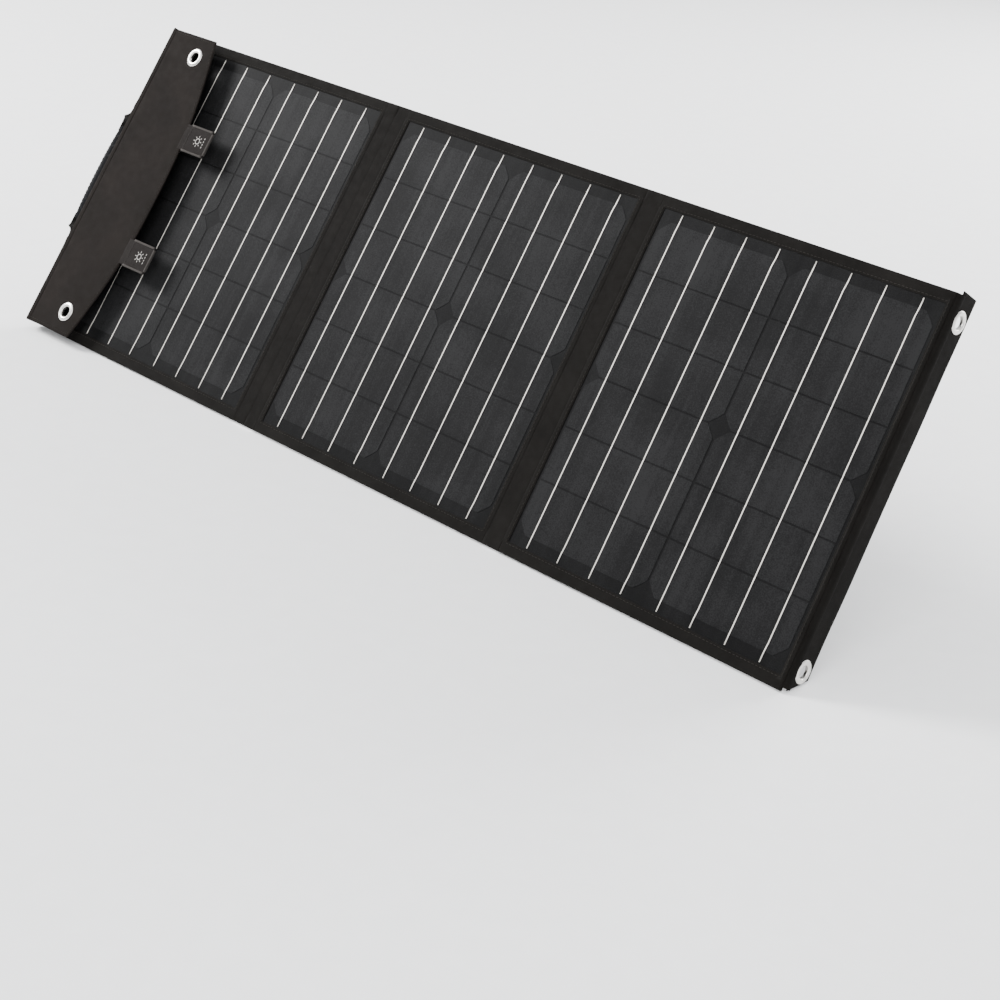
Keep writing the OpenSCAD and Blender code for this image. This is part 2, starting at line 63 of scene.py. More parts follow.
axis_x = Vector((1, 0, 0))
axis_y = Vector(JOINTS["fold_b_to_strip"]["axis"]).normalized()
axis_z = axis_x.cross(axis_y)
LEAN = math.atan2(axis_y.z, axis_y.y)
TURN = np.array([axis_x, axis_y, axis_z])
ORIGIN = np.array(JOINTS["fold_b_to_c"]["pos_m"]) - np.array(FOLD_BC) @ TURN * MM


def to_world(points):
    return np.asarray(points, float) @ TURN * MM + ORIGIN


# ---- sizes, as in part.scad ----

HALF_W = 185.0
PANEL_T = 4.2
BORDER_T = 0.6
WINDOW_X = 161.0
WINDOW_Y = 172.5
# each panel's ends, and the middle of its cells
PANELS = {
    "a": ((-543.0, -199.0), -366.65),
    "b": ((-168.0, 168.0), 0.0),
    "c": ((188.3, 523.0), 356.15),
}
CELL_W = 156.75
CELL_GAP = 2.5
STRIP_PITCH = CELL_W / 3 + 1.75
BAR_PITCH = 39.0
BAR_HALF_W = 0.6
BAR_HALF_L = 171.0

CREASE_B = -178.6
CREASE_A = -188.2
SPINE_OUT = -549.2
SPINE_IN = -547.0
SPINE_Z = (0.9, 18.1)
SPINE_MID_Z = 9.6
FLAP_Z = (16.8, 18.8)
FLAP_X = -546.5
FLAP_REACH = 104.0
FLAP_BOW = 29.0
FLAP_END = 184.0
FLAP_ARC = (FLAP_END**2 + FLAP_BOW**2) / (2 * FLAP_BOW)
FLAP_WAVE_LIMIT = 0.42  # how far a face of the flap may wave towards the stiffener
FLAP_EYELET = (-492.0, 159.0)
TAB_Y = 71.0
TAB_SIZE = (38.0, 32.0, 2.6)
TAB_X = FLAP_X + FLAP_REACH - FLAP_ARC + math.sqrt(FLAP_ARC**2 - (TAB_Y - TAB_SIZE[1] / 2) ** 2) + 1.9
END_X = (525.2, 526.8)
END_Z = (-30.0, -4.9)
END_TOP = 189.0
END_LOW = -HALF_W - 20
END_EYELET = (163.0, -17.0)
EYELET_R = 6.0
FLANGE_R = 11.0
HANDLE_X = SPINE_OUT - 7.4
HANDLE_RISE = 22.6
HANDLE_TILT = math.radians(40)
HANDLE_FOOT = 72.0
GRIP_HALF = 59.0
KICK_HINGE = (140.5, -6.2)
KICK_X = {"a": -260.5, "c": 260.5}
KICK_HALF_W = 57.5
KICK_L = 300.0
KICK_OPEN = math.radians(JOINTS["kickstand_a_swing"]["range_deg"][1])
POCKET_X = -441.0
POCKET_SIZE = (184.0, 324.0)
POCKET_R = 28.0
GUSSET_Z = (-15.2, -4.2)
LID_Z = (-28.1, -17.6)
SLIDER_YS = {"left": -26.0, "right": -42.0}
SLIDER_Z = -17.4

SIDES = ((1, "upper"), (-1, "lower"))
FRONT = (0, 0, 1)
BACK = (0, 0, -1)

# ---- materials ----


def fill_inputs(tree, node, inputs):
    """Links a node's inputs to sockets or sets them to values."""
    for key, value in inputs.items():
        if isinstance(value, bpy.types.NodeSocket):
            tree.links.new(value, node.inputs[key])
        else:
            node.inputs[key].default_value = value


def add_node(tree, kind, inputs, **settings):
    made = tree.nodes.new(kind)
    for key, value in settings.items():
        setattr(made, key, value)
    fill_inputs(tree, made, inputs)
    return made


def calculate(tree, operation, *values):
    return add_node(tree, "ShaderNodeMath", dict(enumerate(values)), operation=operation).outputs[0]


def new_material(name, **shader_values):
    material = bpy.data.materials.new(name)
    material.use_nodes = True
    tree = material.node_tree
    shader = tree.nodes["Principled BSDF"]
    fill_inputs(tree, shader, {key.replace("_", " "): value for key, value in shader_values.items()})
    return material, tree, shader


def surface_mm(tree, from_cad):
    """Coordinates in millimetres: a new piece's own unfolded surface, or a CAD node's place."""
    coords = add_node(tree, "ShaderNodeTexCoord", {})
    if not from_cad:
        return coords.outputs["UV"]
    values = {"Vector": coords.outputs["Object"], "Rotation": (-LEAN, 0, 0), "Scale": (1 / MM,) * 3}
    return add_node(tree, "ShaderNodeMapping", values).outputs["Vector"]


def noise(tree, where, size, detail=3.0):
    """Soft noise with lumps of about that size in millimetres."""
    values = {"Vector": where, "Scale": 1 / size, "Detail": detail, "Roughness": 0.55}
    return add_node(tree, "ShaderNodeTexNoise", values).outputs["Fac"]


def shades(tree, factor, *stops):
    """A colour ramp through (position, colour) stops."""
    ramp = add_node(tree, "ShaderNodeValToRGB", {"Fac": factor})
    elements = ramp.color_ramp.elements
    for i, (position, colour) in enumerate(stops):
        element = elements[i] if i < len(elements) else elements.new(position)
        element.position = position
        element.color = (*colour, 1)
    return ramp.outputs["Color"]


def spread(tree, factor, given, wanted):
    """Maps the range given onto the range wanted."""
    values = dict(enumerate((factor, *given, *wanted)))
    return add_node(tree, "ShaderNodeMapRange", values).outputs[0]


def tint(colour, factor):
    return tuple(channel * factor for channel in colour)


def emboss(tree, shader, height, distance_mm, normal="Normal"):
    bump = add_node(tree, "ShaderNodeBump", {"Height": height, "Distance": distance_mm * MM})
    tree.links.new(bump.outputs["Normal"], shader.inputs[normal])


def waves(tree, where, axis, pitch):
    """A sine wave along one axis, of that pitch in millimetres."""
    axes = add_node(tree, "ShaderNodeSeparateXYZ", {"Vector": where})
    angle = calculate(tree, "MULTIPLY", axes.outputs[axis], 2 * math.pi / pitch)
    return calculate(tree, "SINE", angle)


def woven(name, colour, pitch, depth, from_cad=False):
    """Woven cloth: a thread pattern, uneven dye, rubbed patches and lighter worn edges."""
    values = {"Sheen_Weight": 0.008, "Sheen_Roughness": 0.5, "Specular_IOR_Level": 0.045}
    material, tree, shader = new_material(name, **values)
    where = surface_mm(tree, from_cad)
    threads = calculate(tree, "MULTIPLY", *(waves(tree, where, axis, pitch) for axis in "XY"))
    lint = noise(tree, where, 1.3)
    patches = noise(tree, where, 55.0)
    rubbed = noise(tree, where, 9.0, 6.0)
    mixed = calculate(tree, "MULTIPLY_ADD", threads, 0.05, patches)
    mixed = calculate(tree, "MULTIPLY_ADD", lint, 0.25, mixed)
    base = shades(tree, mixed, (0.3, tint(colour, 0.72)), (0.62, colour), (0.9, tint(colour, 1.3)))
    sharp = add_node(tree, "ShaderNodeNewGeometry", {}).outputs["Pointiness"]
    edge = spread(tree, sharp, (0.52, 0.6), (0.0, 0.5))
    worn = calculate(tree, "MULTIPLY", edge, rubbed)
    values = {"Factor": worn, "A": base, "B": (*tint(colour, 2.2), 1)}
    final = add_node(tree, "ShaderNodeMix", values, data_type="RGBA")
    rough = spread(tree, rubbed, (0.2, 0.8), (0.72, 0.92))
    fill_inputs(tree, shader, {"Base Color": final.outputs["Result"], "Roughness": rough})
    emboss(tree, shader, calculate(tree, "MULTIPLY_ADD", lint, 0.8, threads), depth)
    return material


def moulded(name, colour, roughness, grain_mm, depth, from_cad=False, **values):
    """Moulded plastic, rubber or metal: fine grain, slight gloss changes and faint scuffs."""
    material, tree, shader = new_material(name, **values)
    where = surface_mm(tree, from_cad)
    grain = noise(tree, where, grain_mm)
    scuffs = noise(tree, where, 14.0, 8.0)
    base = shades(tree, scuffs, (0.35, tint(colour, 0.85)), (0.7, colour), (0.85, tint(colour, 1.25)))
    rough = spread(tree, scuffs, (0.3, 0.8), (roughness, roughness + 0.2))
    fill_inputs(tree, shader, {"Base Color": base, "Roughness": rough})
    emboss(tree, shader, grain, depth)
    return material


def laminate(name, colour, finger_pitch=0.0):
    """A solar laminate: dark silicon or backsheet under a pebbled film that dulls the gloss."""
    values = {"Coat_Weight": 0.02, "Coat_Roughness": 0.45, "Specular_IOR_Level": 0.03}
    material, tree, shader = new_material(name, **values)
    where = surface_mm(tree, True)
    pebbles = noise(tree, where, 0.9)
    cloud = noise(tree, where, 70.0)
    streaks = add_node(tree, "ShaderNodeMapping", {"Vector": where, "Scale": (1.0, 0.02, 1.0)})
    streak = noise(tree, streaks.outputs["Vector"], 7.0)
    shade = calculate(tree, "MULTIPLY_ADD", streak, 0.6, cloud)
    shade = calculate(tree, "MULTIPLY_ADD", calculate(tree, "SUBTRACT", pebbles, 0.5), 1.6, shade)
    if finger_pitch:
        ridges = calculate(tree, "ABSOLUTE", waves(tree, where, "Y", finger_pitch))
        fingers = calculate(tree, "POWER", ridges, 6.0)
        shade = calculate(tree, "MULTIPLY_ADD", fingers, 0.16, shade)
    base = shades(tree, shade, (0.35, tint(colour, 0.6)), (0.8, colour), (1.0, tint(colour, 1.7)))
    fill_inputs(tree, shader, {"Base Color": base, "Roughness": 0.6})
    emboss(tree, shader, pebbles, 0.12, "Coat Normal")
    emboss(tree, shader, pebbles, 0.05)
    return material


METAL = {"Metallic": 1.0}
STEEL = (0.50, 0.50, 0.49)

fabric = woven("outer_fabric", (0.0058, 0.0052, 0.0046), 0.9, 0.045)
# The flap's cloth below is a lighter, warmer copy of the outer fabric. Its extra lightness is painted
# light for the flap, which faces the key lamp.
lit_flap_fabric = woven("lit_flap_fabric", (0.0080, 0.0064, 0.0055), 0.9, 0.035)
webbing = woven("webbing", (0.014, 0.013, 0.012), 1.6, 0.3)
tab_fabric = woven("tab_fabric", (0.014, 0.012, 0.0112), 1.1, 0.15)
tape = woven("zip_tape", (0.006, 0.006, 0.006), 1.2, 0.15)
tab_edge = woven("tab_edge", (0.045, 0.041, 0.038), 0.8, 0.12)
thread = woven("thread", (0.016, 0.0145, 0.013), 0.4, 0.05)
# The flap's thread below is a lighter copy of the thread: painted light for the flap, which faces the
# key lamp.
lit_flap_thread = woven("lit_flap_thread", (0.017, 0.015, 0.013), 0.4, 0.05)
mark_thread = woven("mark_thread", (0.34, 0.33, 0.31), 0.5, 0.08)
board_grey = woven("stiffener_board", (0.16, 0.15, 0.13), 2.5, 0.05, from_cad=True)
cell_silicon = laminate("solar_cell", (0.0077, 0.0077, 0.0079), 1.9)
backsheet = laminate("backsheet", (0.0042, 0.0042, 0.0043))
ribbon = moulded("busbar", (0.60, 0.57, 0.52), 0.4, 0.8, 0.03, Metallic=0.35)
nickel = moulded("eyelet_nickel", (0.80, 0.78, 0.74), 0.24, 0.7, 0.01, **METAL)
steel = moulded("steel", STEEL, 0.3, 0.9, 0.01, **METAL)
cad_steel = moulded("steel_cad", STEEL, 0.3, 0.9, 0.01, from_cad=True, **METAL)
grip_rubber = moulded("grip_rubber", (0.010, 0.010, 0.011), 0.6, 0.6, 0.05, Specular_IOR_Level=0.12)
pull_rubber = moulded("zip_plastic", (0.012, 0.012, 0.013), 0.6, 0.6, 0.04, Specular_IOR_Level=0.15)
zip_teeth = moulded("zip_teeth", (0.014, 0.014, 0.014), 0.4, 0.5, 0.02)
box_plastic = moulded("box_plastic", (0.018, 0.018, 0.019), 0.5, 0.5, 0.05, from_cad=True,
                      Specular_IOR_Level=0.2)
circuit_green = moulded("circuit_board", (0.02, 0.14, 0.06), 0.3, 1.5, 0.02, from_cad=True)

CAD_LOOKS = {"_backsheet": backsheet, "_cells": cell_silicon, "box_circuit_board": circuit_green}
CAD_LOOKS.update({"box_" + end: cad_steel for end in ("usb_ports", "usb_c_port", "screws")})
CAD_LOOKS.update({"box_" + end: box_plastic for end in ("base", "cover", "dc_socket")})
CAD_LOOKS.update({"_magnet": cad_steel, "_board": board_grey})


def dress_cad_nodes():
    """Gives each CAD node that stays the first look whose key ends the node's name."""
    for name, obj in frame["nodes"].items():
        ends = [end for end in CAD_LOOKS if name.endswith(end)]
        if ends:
            obj.data.materials.clear()
            obj.data.materials.append(CAD_LOOKS[ends[0]])


# ---- mesh building ----


def soft(t):
    """0 to 1 with no kink at either end."""
    t = np.clip(t, 0, 1)
    return t * t * (3 - 2 * t)


def uneven(x, y, seed, size):
    """A smooth unevenness of about -1 to 1, with waves of about that size."""
    random = np.random.default_rng(seed)
    total = np.zeros(np.broadcast(x, y).shape)
    for _ in range(7):
        angle = random.uniform(0, 2 * math.pi)
        rate = 2 * math.pi / (size * random.uniform(0.7, 1.7))
        phase = random.uniform(0, 2 * math.pi)
        total += np.sin(rate * (x * math.cos(angle) + y * math.sin(angle)) + phase)
    return total / 3.5


def grid_faces(rows, columns, wrap_rows=False, wrap_columns=False, first=0):
    faces = []
    for i in range(rows if wrap_rows else rows - 1):
        for j in range(columns if wrap_columns else columns - 1):
            low = first + i * columns
            high = first + (i + 1) % rows * columns
            k = (j + 1) % columns
            faces.append((low + j, high + j, high + k, low + k))
    return faces


def tube_faces(rows, columns, first=0):
    """The faces of a tube of rows of points, with a cap on each end."""
    last = first + (rows - 1) * columns
    caps = [tuple(range(start, start + columns)) for start in (first, last)]
    return grid_faces(rows, columns, wrap_columns=True, first=first) + caps


def add_object(name, data):
    obj = bpy.data.objects.new(name, data)
    bpy.context.scene.collection.objects.link(obj)
    return obj


def build(name, points, faces, surface, look, body=None, replaces="", slot="outer_fabric"):
    """A smooth mesh piece. surface is each point's place on the unfolded surface, and replaces
    names the CAD nodes that the piece is shown instead of."""
    mesh = bpy.data.meshes.new(name)
    mesh.from_pydata(to_world(points).tolist(), [], faces)
    layer = mesh.uv_layers.new(name="surface")
    corners = np.empty(len(mesh.loops), int)
    mesh.loops.foreach_get("vertex_index", corners)
    layer.data.foreach_set("uv", np.asarray(surface, float)[corners].astype(np.float32).ravel())
    welded = bmesh.new()
    welded.from_mesh(mesh)
    bmesh.ops.remove_doubles(welded, verts=welded.verts, dist=2e-6)
    bmesh.ops.recalc_face_normals(welded, faces=welded.faces)
    welded.to_mesh(mesh)
    welded.free()
    mesh.polygons.foreach_set("use_smooth", [True] * len(mesh.polygons))
    mesh.materials.append(look)
    obj = add_object(name, mesh)
    if body:
        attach(obj, body)
    if replaces:
        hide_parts(*replaces.split())
    return obj


def bend(obj, first, second, start, end):
    """Bakes obj's transform into its mesh, which then follows no body. first and second are not used,
    and start and end are converted to the row frame but not used.
    """
    to_world(start)
    to_world(end)
    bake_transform(obj)


def spaced(low, high, edge, step):
    """Positions from low to high that crowd towards both ends, where a rim rounds off."""
    close = edge * np.array([0, 0.05, 0.2, 0.5, 1.0])
    count = max(1, round((high - low - 2 * edge) / step))
    middle = np.linspace(low + edge, high - edge, count + 1)[1:-1]
    return np.concatenate([low + close, middle, high - close[::-1]])


def round_corners(x, y, rect, radius):
    """Squeezes a rectangle's corners onto arcs of that radius."""
    if not radius:
        return x, y
    x0, x1, y0, y1 = rect
    from_x, from_y = x - (x0 + x1) / 2, y - (y0 + y1) / 2
    a = np.clip((abs(from_x) - (x1 - x0) / 2 + radius) / radius, 0, 1)
    b = np.clip((abs(from_y) - (y1 - y0) / 2 + radius) / radius, 0, 1)
    shift_x = radius * a * (np.sqrt(1 - b * b / 2) - 1)
    shift_y = radius * b * (np.sqrt(1 - a * a / 2) - 1)
    return x + np.sign(from_x) * shift_x, y + np.sign(from_y) * shift_y


def plate(name, rect, levels, edge, look, corner=0.0, step=7.0, outline=None, lift=None,
          top=None, under=None, place=None, **rest):
    """A closed soft plate over a rectangle, whose faces meet in a rounded rim. outline moves
    its points in the plane, lift moves both faces, top and under move one each, and place
    carries the finished plate from its own axes to the blanket's."""
    x0, x1, y0, y1 = rect
    xs, ys = spaced(x0, x1, edge, step), spaced(y0, y1, edge, step)
    x, y = np.meshgrid(xs, ys, indexing="ij")
    inset = np.minimum.reduce([x - x0, x1 - x, y - y0, y1 - y])
    swell = np.sqrt(1 - (1 - np.clip(inset / edge, 0, 1)) ** 2)
    x, y = round_corners(x, y, rect, corner)
    if outline:
        x, y = outline(x, y)
    base = (levels[0] + levels[1]) / 2 + (lift(x, y) if lift else 0)
    half = (levels[1] - levels[0]) / 2 * swell
    upper = base + half + (top(x, y, inset) * swell if top else 0)
    lower = base - half + (under(x, y, inset) * swell if under else 0)
    points = np.concatenate([np.stack([x, y, z], -1).reshape(-1, 3) for z in (upper, lower)])
    faces = grid_faces(len(xs), len(ys)) + grid_faces(len(xs), len(ys), first=x.size)
    surface = points[:, :2].copy()
    if place:
        points = place(points)
    return build(name, points, faces, surface, look, **rest)


def unit(vectors):
    return vectors / np.linalg.norm(vectors, axis=-1, keepdims=True)


def distances(path):
    """How far along the path each of its points is."""
    steps = np.linalg.norm(np.diff(path, axis=0), axis=1)
    return np.concatenate([[0], np.cumsum(steps)])


def at_distance(path, wanted):
    """The path's points at those distances along it."""
    lengths = distances(path)
    return np.stack([np.interp(wanted, lengths, values) for values in np.transpose(path)], -1)


def resample(path, step):
    length = distances(path)[-1]
    return at_distance(path, np.linspace(0, length, max(2, round(length / step) + 1)))


def along_path(path):
    """Carries a plate whose X runs along a path of (x, z) points and whose Z stands off it."""
    lengths = distances(path)
    reach = 0.7

    def place(points):
        run, off = points[:, 0], points[:, 2]
        x, z = at_distance(path, run).T
        tangent = unit(at_distance(path, run + reach) - at_distance(path, run - reach))
        return np.stack([x - tangent[:, 1] * off, points[:, 1], z + tangent[:, 0] * off], -1)

    return place, lengths[-1]


def smooth_path(points, steps=10):
    """A Catmull-Rom curve through the points."""
    p = np.asarray(points, float)
    p = np.concatenate([[2 * p[0] - p[1]], p, [2 * p[-1] - p[-2]]])
    t = np.linspace(0, 1, steps, endpoint=False)[:, None]
    pieces = []
    for a, b, c, d in zip(p[:-3], p[1:-2], p[2:-1], p[3:]):
        cubic = (2 * a - 5 * b + 4 * c - d) + t * (3 * (b - c) + d - a)
        pieces.append(b + 0.5 * t * ((c - a) + t * cubic))
    return np.concatenate(pieces + [p[-2:-1]])


def sweep(name, path, section, look, up=FRONT, closed=False, scale=(1, 1), **rest):
    """A bar along a path. section is a loop of (sideways, upwards) points."""
    path = np.asarray(path, float)
    count = len(path)
    places = np.arange(count)
    ahead = np.roll(path, -1, 0) if closed else path[np.minimum(places + 1, count - 1)]
    behind = np.roll(path, 1, 0) if closed else path[np.maximum(places - 1, 0)]
    tangent = unit(ahead - behind)
    side = unit(np.cross(up, tangent))
    over = np.cross(tangent, side)
    sized = section * np.reshape(scale, (-1, 1, 2))
    points = path[:, None] + side[:, None] * sized[..., :1] + over[:, None] * sized[..., 1:]
    if closed:
        faces = grid_faces(count, len(section), wrap_rows=True, wrap_columns=True)
    else:
        faces = tube_faces(count, len(section))
    runs = np.meshgrid(distances(path), distances(section), indexing="ij")
    surface = np.stack(runs, -1).reshape(-1, 2)
    return build(name, points.reshape(-1, 3), faces, surface, look, **rest)


def oval(half_width, half_height, count=12, power=1.0):
    """A loop from a circle (power 1) towards a rounded rectangle (power below 1)."""
    angles = np.arange(count) / count * 2 * math.pi
    circle = np.stack([np.cos(angles), np.sin(angles)], -1)
    return np.sign(circle) * abs(circle) ** power * (half_width, half_height)


def column(flat, z):
    """(x, y) points with one z."""
    return np.column_stack([flat, np.full(len(flat), z)])


def round_loop(middle, size, radius, step):
    """Points round a rounded rectangle, evenly spaced, without the closing one."""
    inner = np.array(size) / 2 - radius
    corners = []
    for quarter, signs in enumerate(((1, 1), (-1, 1), (-1, -1), (1, -1))):
        angles = (quarter + np.linspace(0, 1, 13)) * math.pi / 2
        arc = radius * np.stack([np.cos(angles), np.sin(angles)], -1)
        corners.append(arc + signs * inner)
    loop = np.concatenate(corners + [corners[0][:1]])
    return resample(loop, step)[:-1] + middle


def lathe(name, profile, centre, axis, look, count=48, **rest):
    """A turned piece: profile is a closed loop of (radius, height along the axis) points."""
    side = unit(np.cross(axis, (0.3, 1.0, 0.2)))
    spokes = oval(1, 1, count) @ (side, np.cross(axis, side))
    radii, heights = np.array(profile).T[..., None]
    points = (centre + spokes[:, None] * radii + np.array(axis) * heights).reshape(-1, 3)
    faces = grid_faces(count, len(profile), wrap_rows=True, wrap_columns=True)
    return build(name, points, faces, side_surface(points), look, **rest)


def side_surface(points):
    """Surface places for a small piece, which needn't be unfolded."""
    return np.stack([points[:, 0] + points[:, 2], points[:, 1]], -1)


def beads(name, centres, directions, length, radius, look, up=FRONT, flatten=1.0, **rest):
    """Many small rounded bars as one piece, such as stitches or zip teeth."""
    centres = np.asarray(centres, float)
    directions = unit(np.asarray(directions, float))
    side = unit(np.cross(up, directions))
    over = np.cross(directions, side)
    stations = np.array([-0.5, -0.36, 0, 0.36, 0.5]) * length
    fatness = np.array([0.35, 0.85, 1.0, 0.85, 0.35]) * radius
    sag = np.array([-0.7, -0.15, 0.1, -0.15, -0.7]) * radius
    sideways, upwards = (fatness[:, None, None] * oval(1, flatten, 6)).transpose(2, 0, 1)
    upwards = upwards + sag[:, None]
    ring = directions[:, None, None] * stations[:, None, None]
    ring = ring + side[:, None, None] * sideways[..., None] + over[:, None, None] * upwards[..., None]
    points = (centres[:, None, None] + ring).reshape(-1, 3)
    faces = []
    for i in range(len(centres)):
        faces += tube_faces(5, 6, i * 30)
    return build(name, points, faces, side_surface(points), look, **rest)


def stitches(name, path, body, up=FRONT, closed=False, pitch=4.2, place=None, look=thread):
    """A row of stitches along a path in the blanket's or, with place, a plate's own axes."""
    if closed:
        path = np.concatenate([path, path[:1]])
    path = resample(path, pitch)
    centres = (path[1:] + path[:-1]) / 2
    heads = centres + up
    if place:
        path, centres, heads = place(path), place(centres), place(heads)
    directions, up = np.diff(path, axis=0), heads - centres
    return beads(name, centres, directions, pitch * 0.72, 0.34, look, up=up, body=body)


def punch(obj, centre, axis):
    """Cuts an eyelet's hole through a piece."""
    count, depth = 40, 8.0
    circle = oval(EYELET_R + 0.9, EYELET_R + 0.9, count)
    ends = np.concatenate([column(circle, z) for z in (-depth, depth)])
    turned = np.array(Vector(FRONT).rotation_difference(Vector(axis)).to_matrix())
    points = to_world(ends @ turned.T + centre)
    faces = [tuple(range(count - 1, -1, -1)), tuple(range(count, 2 * count))]
    faces += [(i, (i + 1) % count, count + (i + 1) % count, count + i) for i in range(count)]
    mesh = bpy.data.meshes.new("punch")
    mesh.from_pydata(points.tolist(), [], faces)
    cutter = add_object("punch", mesh)
    cut = obj.modifiers.new("punch", "BOOLEAN")
    cut.operation = "DIFFERENCE"
    cut.object = cutter
    cut.solver = "EXACT"
    bpy.context.view_layer.update()
    cut_mesh = bpy.data.meshes.new_from_object(obj.evaluated_get(bpy.context.evaluated_depsgraph_get()))
    obj.modifiers.clear()
    obj.data = cut_mesh
    bpy.data.objects.remove(cutter)


# ---- panels ----


def rect_loop(rect, counts=(60, 60)):
    """Points round a rectangle of (x0, x1, y0, y1), the same number for any size."""
    x0, x1, y0, y1 = rect
    corners = np.array([(x0, y0), (x1, y0), (x1, y1), (x0, y1), (x0, y0)])
    sides = zip(corners[:-1], corners[1:], counts * 2)
    return np.concatenate([np.linspace(a, b, n, endpoint=False) for a, b, n in sides])


def shrink(rect, distance):
    return tuple(np.array(rect) + np.array((1, -1, 1, -1)) * distance)


def window_border(letter, outer, window):
    """The fabric frame round the cells, rolled over at the window and at the panel's edge."""

    def rim(rect, *steps):
        return [column(rect_loop(shrink(rect, distance)), z) for distance, z in steps]

    loops = rim(outer, (1.4, -1.6), (0.45, -1.3), (0.08, -0.75), (0, -0.3), (0.3, 0.2), (0.9, 0.5),
                (2, BORDER_T))
    for part, rise in ((0.35, 0.03), (0.6, 0.05)):
        between = (1 - part) * rect_loop(outer) + part * rect_loop(window)
        loops.append(column(between, BORDER_T + rise))
    loops += rim(window, (-2.4, BORDER_T + 0.02), (-1, BORDER_T - 0.05), (-0.3, 0.35), (0, 0.05),
                 (0, -0.28), (-1.5, -0.7))
    for loop in loops:
        if loop[0, 2] > 0.45:
            loop[:, 2] += 0.10 * uneven(loop[:, 0], loop[:, 1], 3, 45.0)
    points = np.concatenate(loops)
    faces = grid_faces(len(loops), len(loops[0]), wrap_rows=True, wrap_columns=True)
    surface = np.stack([points[:, 0] + points[:, 2], points[:, 1] + 0.6 * points[:, 2]], -1)
    body = f"panel_{letter}"
    build(f"{body}_border", points, faces, surface, fabric, body, f"{letter}_border")


def busbars(letter, middle):
    """Tinned ribbons, which dip where they pass from one strip of cell to the next."""
    gaps = [(i - 2) * STRIP_PITCH for i in range(5)]
    near_gaps = [gap + np.arange(-2, 3) for gap in gaps]
    ys = np.unique(np.concatenate([np.linspace(-BAR_HALF_L, BAR_HALF_L, 40), *near_gaps]))
    dip = sum(np.exp(-((ys - gap) / 0.9) ** 2) for gap in gaps)
    past_cells = soft((abs(ys) - 160.5) / 1.5)
    top = 0.26 - 0.22 * dip - 0.16 * past_cells
    section = ((-1.0, -0.15), (-1.0, 0.0), (-0.8, 0.06), (0.8, 0.06), (1.0, 0.0), (1.0, -0.15))
    bars = []
    faces = []
    for side, bar in product((-1, 1), range(4)):
        x = middle + side * (CELL_W + CELL_GAP) / 2 + (bar - 1.5) * BAR_PITCH
        sway = 0.7 * past_cells * np.sign(ys) * (1 if bar % 2 else 0.4)
        lines = [np.stack([x + sway + BAR_HALF_W * a, ys, top + b], -1) for a, b in section]
        faces += tube_faces(len(ys), len(section), len(bars) * len(ys) * len(section))
        bars.append(np.stack(lines, 1).reshape(-1, 3))
    points = np.concatenate(bars)
    body = f"panel_{letter}"
    build(f"{body}_busbars", points, faces, points[:, :2], ribbon, body, f"{letter}_busbars", "busbar")


def panels():
    for letter, (ends, middle) in PANELS.items():
        body = f"panel_{letter}"
        outer = (*ends, -HALF_W, HALF_W)
        window = (middle - WINDOW_X, middle + WINDOW_X, -WINDOW_Y, WINDOW_Y)
        window_border(letter, outer, window)
        busbars(letter, middle)
        plate(
            f"{body}_back", outer, (-PANEL_T, -0.92), 1.5, fabric, step=5.0,
            under=lambda x, y, inset: 0.22 * uneven(x, y, 11, 70.0) * soft(inset / 20),
            body=body, replaces=f"{letter}_back_cover",
        )
        front_row = column(rect_loop(shrink(window, -2.2)), 0.72)
        stitches(f"{body}_window_stitches", front_row, body, closed=True)
        back_row = column(rect_loop(shrink(outer, 3.6)), -PANEL_T + 0.1)
        stitches(f"{body}_edge_stitches", back_row, body, up=BACK, closed=True)
    flap_patches()


def flap_patches():
    """Sewn patches over the steel plates that the tabs' magnets close onto."""
    x = CREASE_B + CREASE_A - TAB_X - TAB_SIZE[0] / 2
    for side, word in SIDES:
        y = side * TAB_Y
        rect = (x - 14, x + 14, y - 14, y + 14)
        plate(f"flap_patch_{word}", rect, (-PANEL_T - 0.55, -PANEL_T + 0.2), 0.5, fabric, corner=1.5,
              step=2.0, under=board_relief(-0.15, 4.0), body="panel_b", replaces="b_flap_plates")
        row = column(rect_loop(shrink(rect, 2.0)), -PANEL_T - 0.35)
        stitches(f"flap_patch_stitches_{word}", row, "panel_b", up=BACK, closed=True, pitch=3.2)


# ---- folds ----

HEM_Y = 172.5


def fold_relief(x, y, inset):
    """Raises the hem along both long edges, and gathers it into small pleats."""
    hem = soft((abs(y) - HEM_Y + 0.6) / 1.2)
    pleats = 0.45 * np.sin(x * 2.1 + 0.6 * np.sin(y * 0.2)) * soft((abs(y) - 160) / 12)
    ridges = 0.14 * np.sin(x * 1.25 + 0.3) * (1 - hem)
    return (0.12 - 0.55 * (1 - hem)) + ridges + pleats * hem * 0.7


def folds():
    for name, ends, bodies, start, end, node in (
        ("strip_right", (-183.6, -167.2), ("panel_b", "fold_strip"), -174.8, -182.4, "fold_strip"),
        ("strip_left", (-199.8, -183.2), ("fold_strip", "panel_a"), -184.4, -192.0, ""),
        ("middle", (167.2, 189.1), ("panel_b", "panel_c"), 172.6, 183.8, ""),
    ):
        fold = plate(f"fold_{name}", (*ends, -HALF_W, HALF_W), (-0.8, BORDER_T), 0.7, fabric,
                     step=3.0, top=fold_relief, replaces=node)
        bend(fold, *bodies, (start, 0, 0), (end, 0, 0))


def hinge_strip(name, path, ends_y, thickness, look=fabric, wave=0.12):
    """A fabric strip whose section follows a path of (x, z) points."""
    place, length = along_path(smooth_path(path, 6))
    return plate(
        name, (0, length, *ends_y), (-thickness / 2, thickness / 2), thickness * 0.45, look, step=1.3,
        place=place, lift=lambda x, y: wave * uneven(x, y, 7, 60.0),
    )


# ---- spine, flap and tabs ----


